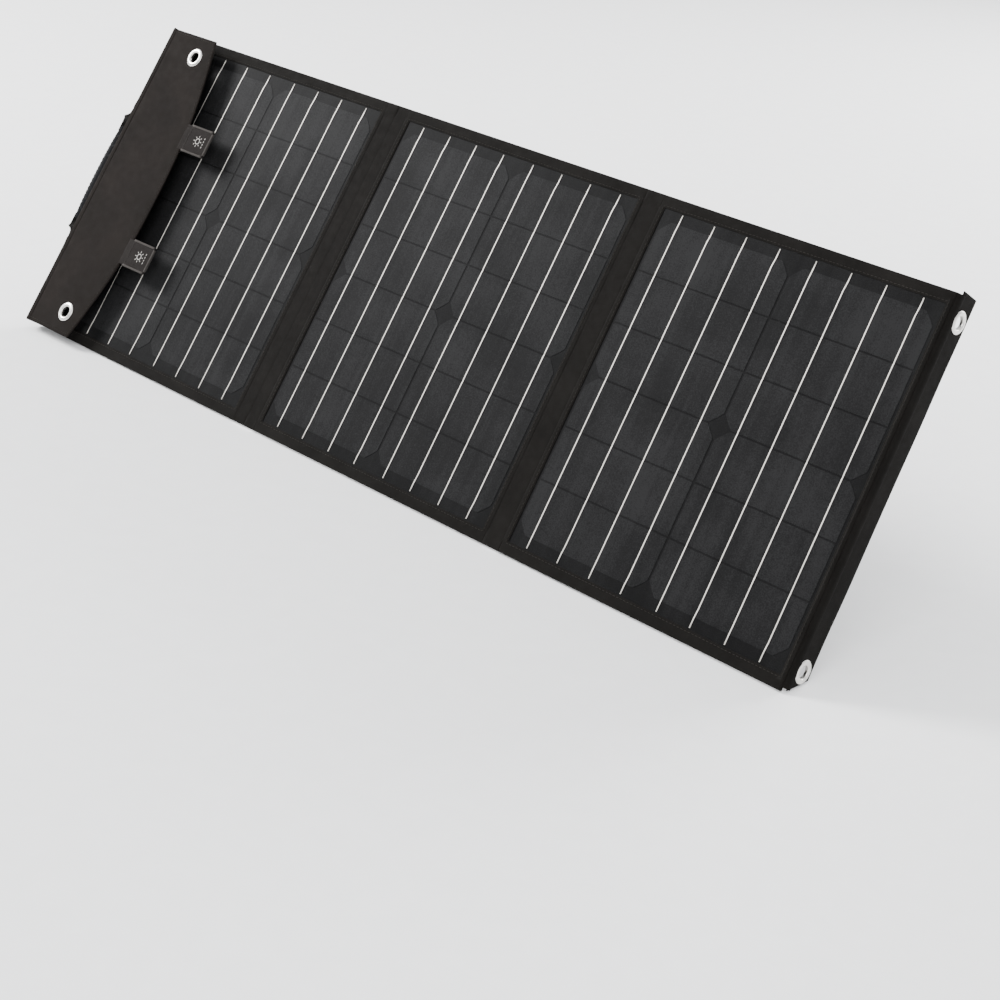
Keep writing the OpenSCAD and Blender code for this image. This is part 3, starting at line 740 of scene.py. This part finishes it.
def spine_place(points):
    """A plate's X is the spine's height over the cells, and its Z is measured inwards."""
    return np.stack([points[:, 2], points[:, 1], points[:, 0]], -1)


def flap_outline(x, y):
    reach = FLAP_REACH - FLAP_ARC + np.sqrt(FLAP_ARC**2 - np.clip(y, -FLAP_END, FLAP_END) ** 2)
    return FLAP_X + (x - FLAP_X) * reach / FLAP_REACH, y


def flap_wave(x, y):
    """The flap sags a little between its ends and is slightly uneven."""
    out = (x - FLAP_X) / FLAP_REACH
    return 0.55 * uneven(x, y, 21, 150.0) * out + 0.5 * out * (abs(y) / FLAP_END) ** 3


def board_relief(amount, rim=5.0):
    """The stiffener's outline showing through a cover, inside a stitched rim."""
    return lambda x, y, inset: amount * soft((inset - rim) / 2.5)


def flap_face(side):
    """A face of the flap, upper (1) or lower (-1): the stiffener's outline shows through the
    cloth, and where the flap waves the cloth still stays outside the stiffener."""

    def relief(x, y, inset):
        clear = -FLAP_WAVE_LIMIT - side * flap_wave(x, y)
        return side * np.maximum(0.22 * soft((inset - 6.0) / 2.5), clear)

    return relief


def spine():
    plate("spine_cover_cloth", (*SPINE_Z, -HALF_W, HALF_W), (SPINE_OUT, SPINE_IN), 0.9,
          fabric, step=5.0, place=spine_place, lift=lambda x, y: 0.15 * uneven(x, y, 5, 70.0),
          body="spine", replaces="spine_cover")
    for z in (SPINE_Z[0] + 2.4, SPINE_Z[1] - 2.4):
        path = [(SPINE_OUT - 0.1, y, z) for y in (-181, 181)]
        stitches(f"spine_stitches_{round(z)}", path, "spine", up=(-1, 0, 0))

    root = hinge_strip(
        "spine_root_cloth",
        ((-541.8, 0.25), (-544.2, 0.2), (-546.6, 0), (-548.6, 0.9), (-549.0, 2.6), (-549.1, 4.6)),
        (-HALF_W, HALF_W), 0.8,
    )
    bend(root, "panel_a", "spine", (-544.2, 0, -0.2), (-548.6, 0, 2.8))
    crest = hinge_strip(
        "spine_crest_cloth",
        [(-549.1, 14.8), (-549.0, 17.0), (-548.4, 18.5), (-546.9, 19.0), (-544.6, 18.9),
         (-542.4, 18.75)],
        (-FLAP_END, FLAP_END), 0.8, look=lit_flap_fabric,
    )
    bend(crest, "spine", "flap", (-549.0, 0, 16.4), (-545.4, 0, 19.6))


def flap():
    rect = (FLAP_X, FLAP_X + FLAP_REACH, -FLAP_END, FLAP_END)
    cloth = plate("flap_cloth", rect, FLAP_Z, 1.0, lit_flap_fabric, step=4.0, outline=flap_outline,
                  lift=flap_wave, top=flap_face(1), under=flap_face(-1), body="flap",
                  replaces="flap_cover")
    for side, _ in SIDES:
        punch(cloth, (FLAP_EYELET[0], side * FLAP_EYELET[1], FLAP_Z[1]), FRONT)
    inner = rect_loop(shrink(rect, 3.4), (30, 90))
    x, y = flap_outline(inner[:, 0], inner[:, 1])
    z = FLAP_Z[1] + 0.08 + np.maximum(flap_wave(x, y), -FLAP_WAVE_LIMIT)
    stitches("flap_stitches", np.column_stack([x, y, z]), "flap", closed=True, look=lit_flap_thread)


def eyelet(place, word, front, back, axis, body):
    """A pressed eyelet: a domed flange and barrel from the front, a toothed washer behind."""
    flange = [
        (EYELET_R, -2.6), (EYELET_R, -0.2), (EYELET_R + 0.25, 0.55), (EYELET_R + 0.9, 1.05),
        (EYELET_R + 2.2, 1.2), (FLANGE_R - 1.6, 0.95), (FLANGE_R - 0.4, 0.45), (FLANGE_R, 0.08),
        (FLANGE_R - 0.3, -0.05), (EYELET_R + 0.8, -0.05), (EYELET_R + 0.8, -2.6),
    ]
    washer = [
        (EYELET_R + 0.05, -0.1), (FLANGE_R - 1.2, -0.1), (FLANGE_R - 1.0, -0.35),
        (FLANGE_R - 1.8, -0.6), (EYELET_R + 2.0, -0.75), (EYELET_R + 0.7, -0.95), (EYELET_R + 0.1, -0.6),
    ]
    lathe(f"{place}_eyelet_{word}", flange, front, axis, nickel, body=body,
          replaces=f"{place}_eyelets", slot="eyelet_nickel")
    lathe(f"{place}_washer_{word}", washer, back, axis, steel, body=body,
          replaces=f"{place}_washers", slot="steel")


def eyelets():
    for side, word in SIDES:
        x, y = FLAP_EYELET[0], side * FLAP_EYELET[1]
        rise = flap_wave(x, y)
        front, back = (x, y, FLAP_Z[1] + rise + 0.15), (x, y, FLAP_Z[0] + rise - 0.1)
        eyelet("flap", word, front, back, FRONT, "flap")
        y, z = side * END_EYELET[0], END_EYELET[1]
        eyelet("end", word, (END_X[1], y, z), (END_X[0], y, z), (1, 0, 0), "end_strip")


def sun_mark(name, centre, body):
    """A plain ring with rays and a plain line beside it, which stand for the printed mark."""
    spokes = column(oval(1, 1, 16), 0)
    line = [(9.5, 5.1 - 3.4 * i, 0) for i in range(4)]
    places = np.concatenate([spokes[::2] * 5.6, spokes * 3.1, line])
    directions = np.concatenate([spokes[::2], np.cross(FRONT, spokes), [(0, 1, 0)] * 4])
    beads(name, places + centre, directions, 2.5, 0.5, mark_thread, flatten=0.6, body=body,
          slot="webbing")


def tabs():
    for side, word in SIDES:
        body = f"tab_{word}"
        x, y = TAB_X, side * TAB_Y
        half = TAB_SIZE[1] / 2
        base = FLAP_Z[0]
        rect = (x, x + TAB_SIZE[0], y - half, y + half)
        plate(f"{body}_loop", rect, (base, base + TAB_SIZE[2]), 1.3, tab_fabric, corner=3.5, step=3.0,
              top=board_relief(0.25, 3.0), under=board_relief(-0.2, 3.0),
              body=body, replaces=body, slot="webbing")
        edge_z = base + 1.3
        for i, offset in enumerate((-half + 1.1, half - 1.1)):
            ends = [(at, y + offset, edge_z) for at in (x + 1, x + TAB_SIZE[0] - 2)]
            sweep(f"{body}_binding_{i + 1}", resample(ends, 3), oval(1.35, 1.75, 12, 0.7), tab_edge,
                  body=body, slot="webbing")
        ends = [(x + TAB_SIZE[0] - 1.1, y + offset, edge_z) for offset in (3 - half, half - 3)]
        sweep(f"{body}_roll", resample(ends, 3), oval(1.3, 1.6, 12, 0.8), tab_edge,
              body=body, slot="webbing")
        top_z = base + TAB_SIZE[2] + 0.22
        row = [(x + 3, y + offset, top_z) for offset in (4 - half, half - 4)]
        stitches(f"{body}_stitches", row, body, pitch=3.0)
        sun_mark(f"{body}_mark", (x + 20, y, top_z + 0.05), body)
        root = plate(
            f"{body}_root", (x - 8, x + 4, y - half + 1, y + half - 1), (base + 0.35, base + 1.9), 0.6,
            tab_fabric, step=1.5, slot="webbing",
        )
        bend(root, "flap", body, (x - 3.2, y, base), (x + 2.2, y, base))


# ---- handle ----


def handle_place(points):
    """Carries points drawn upright, with X away from the spine, to the drooping handle."""
    out, across = points[:, 0], points[:, 2]
    c, s = math.cos(HANDLE_TILT), math.sin(HANDLE_TILT)
    x = HANDLE_X - out * c - across * s
    z = SPINE_MID_Z - out * s + across * c
    return np.stack([x, points[:, 1], z], -1)


def handle_strap(side, word):
    """Half of the webbing: a flat foot on the spine that turns out and droops to the grip."""
    route = (
        (-1.8, 27), (0.2, 20), (1.2, 12), (0.6, 10), (1.2, 4), (4.2, -0.5), (9.0, -2.4),
        (16.0, -2.8), (22.0, -3.4), (27.5, -6.2), (30.8, -10), (31.6, -19),
    )
    out, y = smooth_path(route, 6).T + [[0], [HANDLE_FOOT]]
    pin = SPINE_OUT - 1.3 - HANDLE_X
    droop = HANDLE_TILT * soft((out - 2) / 9)
    past = np.maximum(out - pin, 0)
    x = HANDLE_X + pin - np.minimum(out, pin) - past * np.cos(droop)
    z = SPINE_MID_Z - past * np.sin(droop)
    upright = np.stack([-np.sin(droop), np.zeros_like(droop), np.cos(droop)], -1)
    strap = sweep(
        f"handle_webbing_{word}", np.stack([x, side * y, z], -1), oval(0.95, 7.0, 20, 0.35),
        webbing, up=upright, slot="webbing", replaces="handle_webbing handle_anchors",
    )
    start, end = ((SPINE_OUT - off, 0, SPINE_MID_Z) for off in (2.6, 11.5))
    bend(strap, "spine", "handle", start, end)


def handle():
    """A strip of webbing riveted to the spine, with a crescent grip round its middle."""
    for side, word in SIDES:
        handle_strap(side, word)
        rivet = [(0.01, 1.1), (1.4, 1.0), (2.6, 0.55), (3.1, 0.05), (3.0, -0.2), (0.01, -0.2)]
        centre = (SPINE_OUT - 2.2, side * 90.0, SPINE_MID_Z)
        lathe(f"handle_rivet_{word}", rivet, centre, (-1, 0, 0), steel, count=24, body="spine",
              replaces="handle_rivets", slot="steel")
        for i in range(3):
            z = SPINE_MID_Z + (i - 1) * 4.5
            path = [(SPINE_OUT - 2.3, side * (HANDLE_FOOT + along), z) for along in (8, 14)]
            stitches(f"handle_stitches_{word}_{i + 1}", path, "spine", up=(-1, 0, 0), pitch=3.2)
    grip()


def grip():
    """The moulded grip: an arched back that thins to both ends, with ribs and dimples inside."""
    ys = np.concatenate([np.linspace(-1, -0.9, 4), np.linspace(-0.86, 0.86, 61), np.linspace(0.9, 1, 4)])
    arch = np.sqrt(np.clip(1 - ys**2, 0, 1))
    outer = HANDLE_RISE - 2.0 + 8.6 * arch**1.2
    inner = HANDLE_RISE - 3.4 - 0.9 * (1 - ys**2)
    centre = (outer + inner) / 2
    half = (outer - inner) / 2
    path = handle_place(np.stack([centre, ys * GRIP_HALF, np.zeros(len(ys))], -1))
    width = 8.0 * (0.62 + 0.38 * arch)
    ribs = 1 + 0.035 * np.cos(ys * GRIP_HALF / 5.2 * 2 * math.pi) * (abs(ys) < 0.8)
    scale = np.stack([half * ribs, width * ribs], -1)
    up = np.diff(handle_place(np.array([[0, 0, 0.0], [0, 0, 1.0]])), axis=0)[0]
    sweep("handle_grip_moulding", path, oval(1, 1, 24, 0.72), grip_rubber, up=up, scale=scale,
          body="handle", replaces="handle_grip", slot="grip_rubber")
    level = HANDLE_RISE - 4.5
    bars = [((level, i * 10.5, j), (0, 1, 0)) for i in (-1, 0, 1) for j in (-1.1, 1.1)]
    for side, i, tilt in product((-1, 1), range(3), (-1, 1)):
        place = (level + 0.15 * (i - 1), side * (22 + 12.5 * i), tilt * 2.6)
        bars.append((place, (0, -side, tilt * 0.85)))
    centres, directions = np.array(bars, float).transpose(1, 0, 2)
    tips = handle_place(centres + directions)
    centres = handle_place(centres)
    beads("handle_grip_relief", centres, tips - centres, 5.6, 1.25, grip_rubber, up=up,
          body="handle", slot="grip_rubber")


# ---- end strip ----


def end_place(points):
    """A plate's X runs along the blanket's Y, its Y along the blanket's Z."""
    return np.stack([points[:, 2], points[:, 0], points[:, 1]], -1)


def end_outline(x, y):
    """The lower end is cut at a slant that clears the floor."""
    low = -(HALF_W * math.sin(LEAN) + (PANEL_T + y) * math.cos(LEAN) - 1.5) / math.sin(LEAN)
    return END_TOP - (END_TOP - x) * (END_TOP - low) / (END_TOP - END_LOW), y


def end_strip():
    rect = (END_LOW, END_TOP, *END_Z)
    strip = plate("end_strip_cloth", rect, END_X, 0.8, fabric, step=4.0, outline=end_outline,
                  place=end_place, lift=lambda x, y: 0.3 * uneven(x, y, 33, 90.0) * soft((-8 - y) / 10),
                  body="end_strip", replaces="end_strip")
    for side, _ in SIDES:
        punch(strip, (END_X[1], side * END_EYELET[0], END_EYELET[1]), (1, 0, 0))
    for i, z in enumerate((END_Z[0] + 3, END_Z[1] - 2.2)):
        low = end_outline(END_LOW, z)[0] + 3
        path = [(END_X[1] + 0.1, y, z) for y in (low, END_TOP - 3)]
        stitches(f"end_strip_stitches_{i + 1}", path, "end_strip", up=(1, 0, 0))
    root = hinge_strip(
        "end_strip_root",
        [(519.5, -1.2), (522.2, -0.9), (524.6, -1.3), (526.2, -3.2), (526.9, -6.0), (526.9, -8.6)],
        (-HALF_W + 3.5, HALF_W), 0.9,
    )
    bend(root, "panel_c", "end_strip", (522.0, 0, -1.0), (526.6, 0, -6.4))


# ---- kickstands ----


def kick_place(x):
    """Swings a plate drawn shut against the panel out to its open stop."""
    c, s = math.cos(KICK_OPEN), math.sin(KICK_OPEN)

    def place(points):
        along, off = points[:, 1], points[:, 2]
        y = KICK_HINGE[0] + along * c - off * s
        z = KICK_HINGE[1] + along * s + off * c
        return np.stack([points[:, 0] + x, y, z], -1)

    return place


def kickstands():
    for letter, x in KICK_X.items():
        body = f"kickstand_{letter}"
        place = kick_place(x)
        rect = (-KICK_HALF_W, KICK_HALF_W, -KICK_L - 1.5, -1.5)
        plate(f"{body}_cover", rect, (-1.5, 1.5), 1.2, fabric, corner=4.0, step=5.0, place=place,
              top=board_relief(0.05, 6.5), under=board_relief(-0.3, 6.5),
              body=body, replaces=f"kick_{letter}_cover")
        loop = rect_loop(shrink(rect, 4.2), (30, 60))
        for word, z, up in (("back", -1.62, BACK), ("front", 1.38, FRONT)):
            stitches(f"{body}_stitches_{word}", column(loop, z), body, up=up, closed=True, place=place)
        kick_anchor(f"kick_{letter}_anchor", x, f"panel_{letter}")
        kick_hinge(x, f"panel_{letter}", body)


def kick_anchor(name, x, panel):
    """The strip sewn to the panel that the kickstand hangs from."""
    x0, x1 = x - KICK_HALF_W - 1, x + KICK_HALF_W + 1
    y0, y1 = KICK_HINGE[0] + 1.2, KICK_HINGE[0] + 16.5
    plate(f"{name}_cloth", (x0, x1, y0, y1), (-PANEL_T - 1.3, -PANEL_T + 0.1), 0.7, fabric, step=3.0,
          under=lambda x, y, inset: 0.25 * uneven(x, y, 9, 30.0) * soft(inset / 4),
          body=panel, replaces=name)
    long_rows = [[(x0 + 3, y), (x1 - 3, y)] for y in (y0 + 2.4, y1 - 2.4)]
    end_rows = [[(end, y0 + 3), (end, y1 - 3)] for end in (x0 + 2.4, x1 - 2.4)]
    for word, rows in (("stitches", long_rows), ("ends", end_rows)):
        for i, row in enumerate(rows):
            stitches(f"{name}_{word}_{i + 1}", column(row, -PANEL_T - 1.45), panel, up=BACK)


def kick_hinge(x, panel, body):
    """The fabric that runs from the anchor strip onto the kickstand's outer face."""
    hinge_y = KICK_HINGE[0]
    route = [(hinge_y + y, -PANEL_T - z) for y, z in ((7.5, 1.5), (4.5, 1.6), (1.9, 2.3))]
    on_leg = np.array([(0, -1.2, -1.9), (0, -4.0, -1.85), (0, -8.0, -1.7), (0, -4.5, 0)])
    *leg_route, end = kick_place(x)(on_leg)
    place, length = along_path(smooth_path(route + [point[1:] for point in leg_route], 8))

    def turned(points):
        moved = place(points)
        return np.stack([moved[:, 1], moved[:, 0], moved[:, 2]], -1)

    rect = (0, length, x - KICK_HALF_W + 1, x + KICK_HALF_W - 1)
    strip = plate(f"{body}_hinge_cloth", rect, (-0.4, 0.4), 0.35, fabric, step=1.5, place=turned)
    bend(strip, panel, body, (x, hinge_y + 4.0, -PANEL_T - 1.5), end)


# ---- pocket ----


def outward(points):
    """A plate drawn with Z pointing out of the back."""
    return points * np.array([1, 1, -1.0])


def lid_face(x, y, inset):
    """The lid's face: crowned, creased at its corners, and pressed by a coiled ring inside."""
    dx, dy = x - POCKET_X, y
    crown = 1.1 * soft(inset / 38) - 1.0
    ring = np.hypot(dx - 3.0, dy + 32.0)
    coil = 1.0 * np.exp(-(((ring - 53.5) / 5.0) ** 2)) - 0.9 * np.exp(-(((ring - 61.0) / 3.5) ** 2))
    wrinkles = 0.65 * uneven(x, y, 41, 55.0) + 0.25 * uneven(x, y, 43, 22.0)
    drape = 0.9 * np.sin((dx * 0.6 - dy * 0.35) / 7.5) * np.exp(-((abs(dy) - 128) / 24) ** 2)
    return crown + (coil + wrinkles + drape) * soft((inset - 3) / 14)


def lid_hollow(x, y, inset):
    """The lid's inside, open under its face."""
    return (LID_Z[1] - LID_Z[0] - 2.6) * soft((inset - 2.2) / 1.6)


def pocket_loop(grow, step=4.0):
    """Points round the pocket's outline, moved outwards by half of grow."""
    size = (POCKET_SIZE[0] + grow, POCKET_SIZE[1] + grow)
    return round_loop((POCKET_X, 0.0), size, POCKET_R + grow / 2, step)


def pocket():
    loop = pocket_loop(-2)
    slack = 0.45 * uneven(loop[:, 0], loop[:, 1], 51, 38.0)
    scale = np.stack([1 + 0.25 * slack, np.ones(len(loop))], -1)
    section = oval(1.0, (GUSSET_Z[1] - GUSSET_Z[0]) / 2, 20, 0.5)
    sweep("pocket_gusset_cloth", column(loop, sum(GUSSET_Z) / 2), section, fabric, closed=True,
          scale=scale, body="panel_a", replaces="pocket_gusset")
    sweep("pocket_piping_cord", column(pocket_loop(2.4), GUSSET_Z[1] - 1.3), oval(1.2, 1.2), webbing,
          closed=True, body="panel_a", replaces="pocket_piping", slot="zip_plastic")
    zip_rows()
    lid()
    stitched_strip()


def zip_rows():
    """Two tapes, and coil teeth that are half on the pocket's tape and half on the lid's."""
    inside, loop = pocket_loop(-1.2), pocket_loop(-0.6, 2.2)
    directions = column(np.roll(loop, -1, 0) - np.roll(loop, 1, 0), 0)
    off_hinge = np.flatnonzero(loop[:, 0] < POCKET_X + POCKET_SIZE[0] / 2 - 12)
    halves = (("pocket", "panel_a", -16.1, -16.9), ("lid", "pocket_lid", -18.7, -17.9))
    for word, body, tape_z, _ in halves:
        sweep(f"{word}_zip_cloth", column(inside, tape_z), oval(0.55, 1.05, 12, 0.5), tape,
              closed=True, body=body, replaces=f"{word}_zip_tape", slot="zip_plastic")
    for first, (word, body, _, teeth_z) in enumerate(halves):
        chosen = off_hinge[first::2]
        beads(f"{word}_zip_teeth", column(loop[chosen], teeth_z), directions[chosen], 2.4, 0.75,
              zip_teeth, body=body, slot="zip_plastic")


def lid():
    """The lid: a puffy face with corded seams round it."""
    half_x, half_y = POCKET_SIZE[0] / 2 - 0.4, POCKET_SIZE[1] / 2 - 0.4
    rect = (POCKET_X - half_x, POCKET_X + half_x, -half_y, half_y)
    plate("lid_face_cloth", rect, (-LID_Z[1] + 1.7, -LID_Z[0] + 0.2), 4.4, fabric, corner=POCKET_R,
          step=2.6, top=lid_face, under=lid_hollow, place=outward, body="pocket_lid",
          replaces="lid_shell")
    for i, (grow, z, radius) in enumerate(((2.0, -24.6, 1.25), (1.6, -20.6, 0.9))):
        loop = pocket_loop(grow)
        wobble = 0.3 * uneven(loop[:, 0], loop[:, 1], 61 + i, 70.0)
        cord = np.column_stack([loop, z + wobble])
        sweep(f"lid_piping_cord_{i + 1}", cord, oval(radius, radius), webbing, closed=True,
              body="pocket_lid", replaces="" if i else "lid_piping", slot="zip_plastic")


def stitched_strip():
    """The lid's hinge: cloth that runs off the lid's side and is sewn flat to the panel."""
    edge = POCKET_X + POCKET_SIZE[0] / 2
    ends = (-110.5, 116.5)
    route = (
        (14.5, -PANEL_T - 0.4), (8, -PANEL_T - 0.6), (3.4, -PANEL_T - 2.0), (2.0, -8.5),
        (1.7, -14.0), (1.5, -17.4), (1.2, -20.5), (0.2, -23.4),
    )
    strip = hinge_strip("lid_hinge_cloth", [(edge + x, z) for x, z in route], ends, 0.9, wave=0.3)
    bend(strip, "panel_a", "pocket_lid", (edge + 1.5, 0, -14.4), (edge + 1.5, 0, -20.2))
    path = [(edge + 11.5, y, -PANEL_T - 1.1) for y in (ends[0] + 2, ends[1] - 2)]
    stitches("lid_hinge_stitches", path, "panel_a", up=BACK)
    for i, y in enumerate((ends[0] + 2.4, ends[1] - 2.4)):
        path = [(edge + 6, y, -PANEL_T - 1.2), (edge + 13, y, -PANEL_T - 1.1)]
        stitches(f"lid_hinge_ends_{i + 1}", path, "panel_a", up=BACK, pitch=3.4)


def zips():
    """Sliders with a bridge, and rounded rubber pulls that hang from them."""
    x = POCKET_X - POCKET_SIZE[0] / 2
    for word, y in SLIDER_YS.items():
        slider = f"zip_slider_{word}"
        rect = (y - 5, y + 5, SLIDER_Z - 2.6, SLIDER_Z + 2.2)
        plate(f"{slider}_body", rect, (x - 3.2, x - 0.4), 0.9, steel, corner=2.0, step=1.0,
              place=end_place, body=slider, replaces=slider, slot="steel")
        bridge = ((-3.0, -3.8), (-4.2, -2.6), (-4.6, 0), (-4.2, 2.6), (-3.0, 3.8))
        path = smooth_path(column(bridge, SLIDER_Z) + (x, y, 0), 5)
        sweep(f"{slider}_bridge", path, oval(0.5, 0.9, 10, 0.7), steel, body=slider, slot="steel")
        pull = f"zip_pull_{word}"
        ring = np.array([
            (-3.4, -2.2, -1.5), (-5.2, -3.0, -0.5), (-7.8, -2.6, -0.2), (-9.4, 0, -0.2),
            (-7.8, 2.6, -0.2), (-5.2, 3.0, -0.5), (-3.4, 2.2, -1.5),
        ])
        path = smooth_path(ring + (x, y, SLIDER_Z), 5)
        sweep(f"{pull}_ring", path, oval(0.5, 0.5, 8), steel, body=pull, slot="steel")
        paddle = (x - 26.5, x - 6.6, y - 4.6, y + 4.6)
        plate(f"{pull}_paddle", paddle, (SLIDER_Z - 1.5, SLIDER_Z + 1.1), 1.1, pull_rubber, corner=4.5,
              step=1.4, top=board_relief(-0.35, 2.0), under=board_relief(0.35, 2.0),
              body=pull, replaces=pull, slot="zip_plastic")


# ---- stage ----


def camera():
    """The photograph's viewpoint, with its framing set by the shift."""
    data = bpy.data.cameras.new("camera")
    data.sensor_width, data.lens = 36.0, 78.13
    data.shift_x, data.shift_y = -0.1946, -0.265
    data.clip_end = 50.0
    obj = add_object("camera", data)
    right = Vector((0.7589, 0.419, -0.4985))
    down = Vector((0.2621, -0.8973, -0.3552))
    ahead = right.cross(down)
    axes = np.array([right, -down, -ahead]) @ TURN
    turn = Matrix(axes.T.tolist()).to_quaternion().to_matrix().to_4x4()
    obj.matrix_world = Matrix.Translation(to_world((1451.03, -124.79, 1605.95))) @ turn
    bpy.context.scene.camera = obj


def area_light(name, position, target, size, power):
    data = bpy.data.lights.new(name, "AREA")
    data.shape = "DISK"
    data.size = size
    data.energy = power
    obj = add_object(name, data)
    obj.location = position
    aim = Vector(target) - Vector(position)
    obj.rotation_euler = aim.to_track_quat("-Z", "Y").to_euler()


def floor():
    """Pale paper that sweeps up into a wall far behind the object, on every side."""
    mesh = bpy.data.meshes.new("floor")
    reach, count = 14.0, 57
    line = np.linspace(-reach, reach, count)
    x, y = np.meshgrid(line, line, indexing="ij")
    sweep_up = 5.0 * np.clip((np.hypot(x, y) - 7.0) / 7.0, 0, 1.5) ** 2
    points = np.stack([x, y, sweep_up], -1).reshape(-1, 3)
    mesh.from_pydata(points.tolist(), [], grid_faces(count, count))
    mesh.polygons.foreach_set("use_smooth", [True] * len(mesh.polygons))
    material, tree, shader = new_material("floor_paper", Roughness=0.9)
    coords = add_node(tree, "ShaderNodeTexCoord", {})
    grain = add_node(tree, "ShaderNodeTexNoise", {"Vector": coords.outputs["Object"], "Scale": 40.0})
    paper = shades(tree, grain.outputs["Fac"], (0.3, (0.88,) * 3), (0.7, (0.90,) * 3))
    fill_inputs(tree, shader, {"Base Color": paper})
    mesh.materials.append(material)
    add_object("floor", mesh)


def studio():
    floor()
    area_light("key", to_world((-3500, 1250, 2100)), to_world((-150, 0, 0)), 1.5, 370)
    area_light("fill", (1.6, -3.0, 2.6), (0.0, 0.0, 0.2), 2.6, 110)
    area_light("back", (0.5, 3.2, 1.3), (0.0, 0.1, 0.15), 2.4, 200)
    world = bpy.data.worlds.new("studio")
    world.use_nodes = True
    tree = world.node_tree
    fill_inputs(tree, tree.nodes["Background"], {"Color": (0.95, 0.97, 1.0, 1), "Strength": 1.3})
    bpy.context.scene.world = world


dress_cad_nodes()
panels()
folds()
spine()
flap()
eyelets()
tabs()
handle()
end_strip()
kickstands()
pocket()
zips()
camera()
studio()
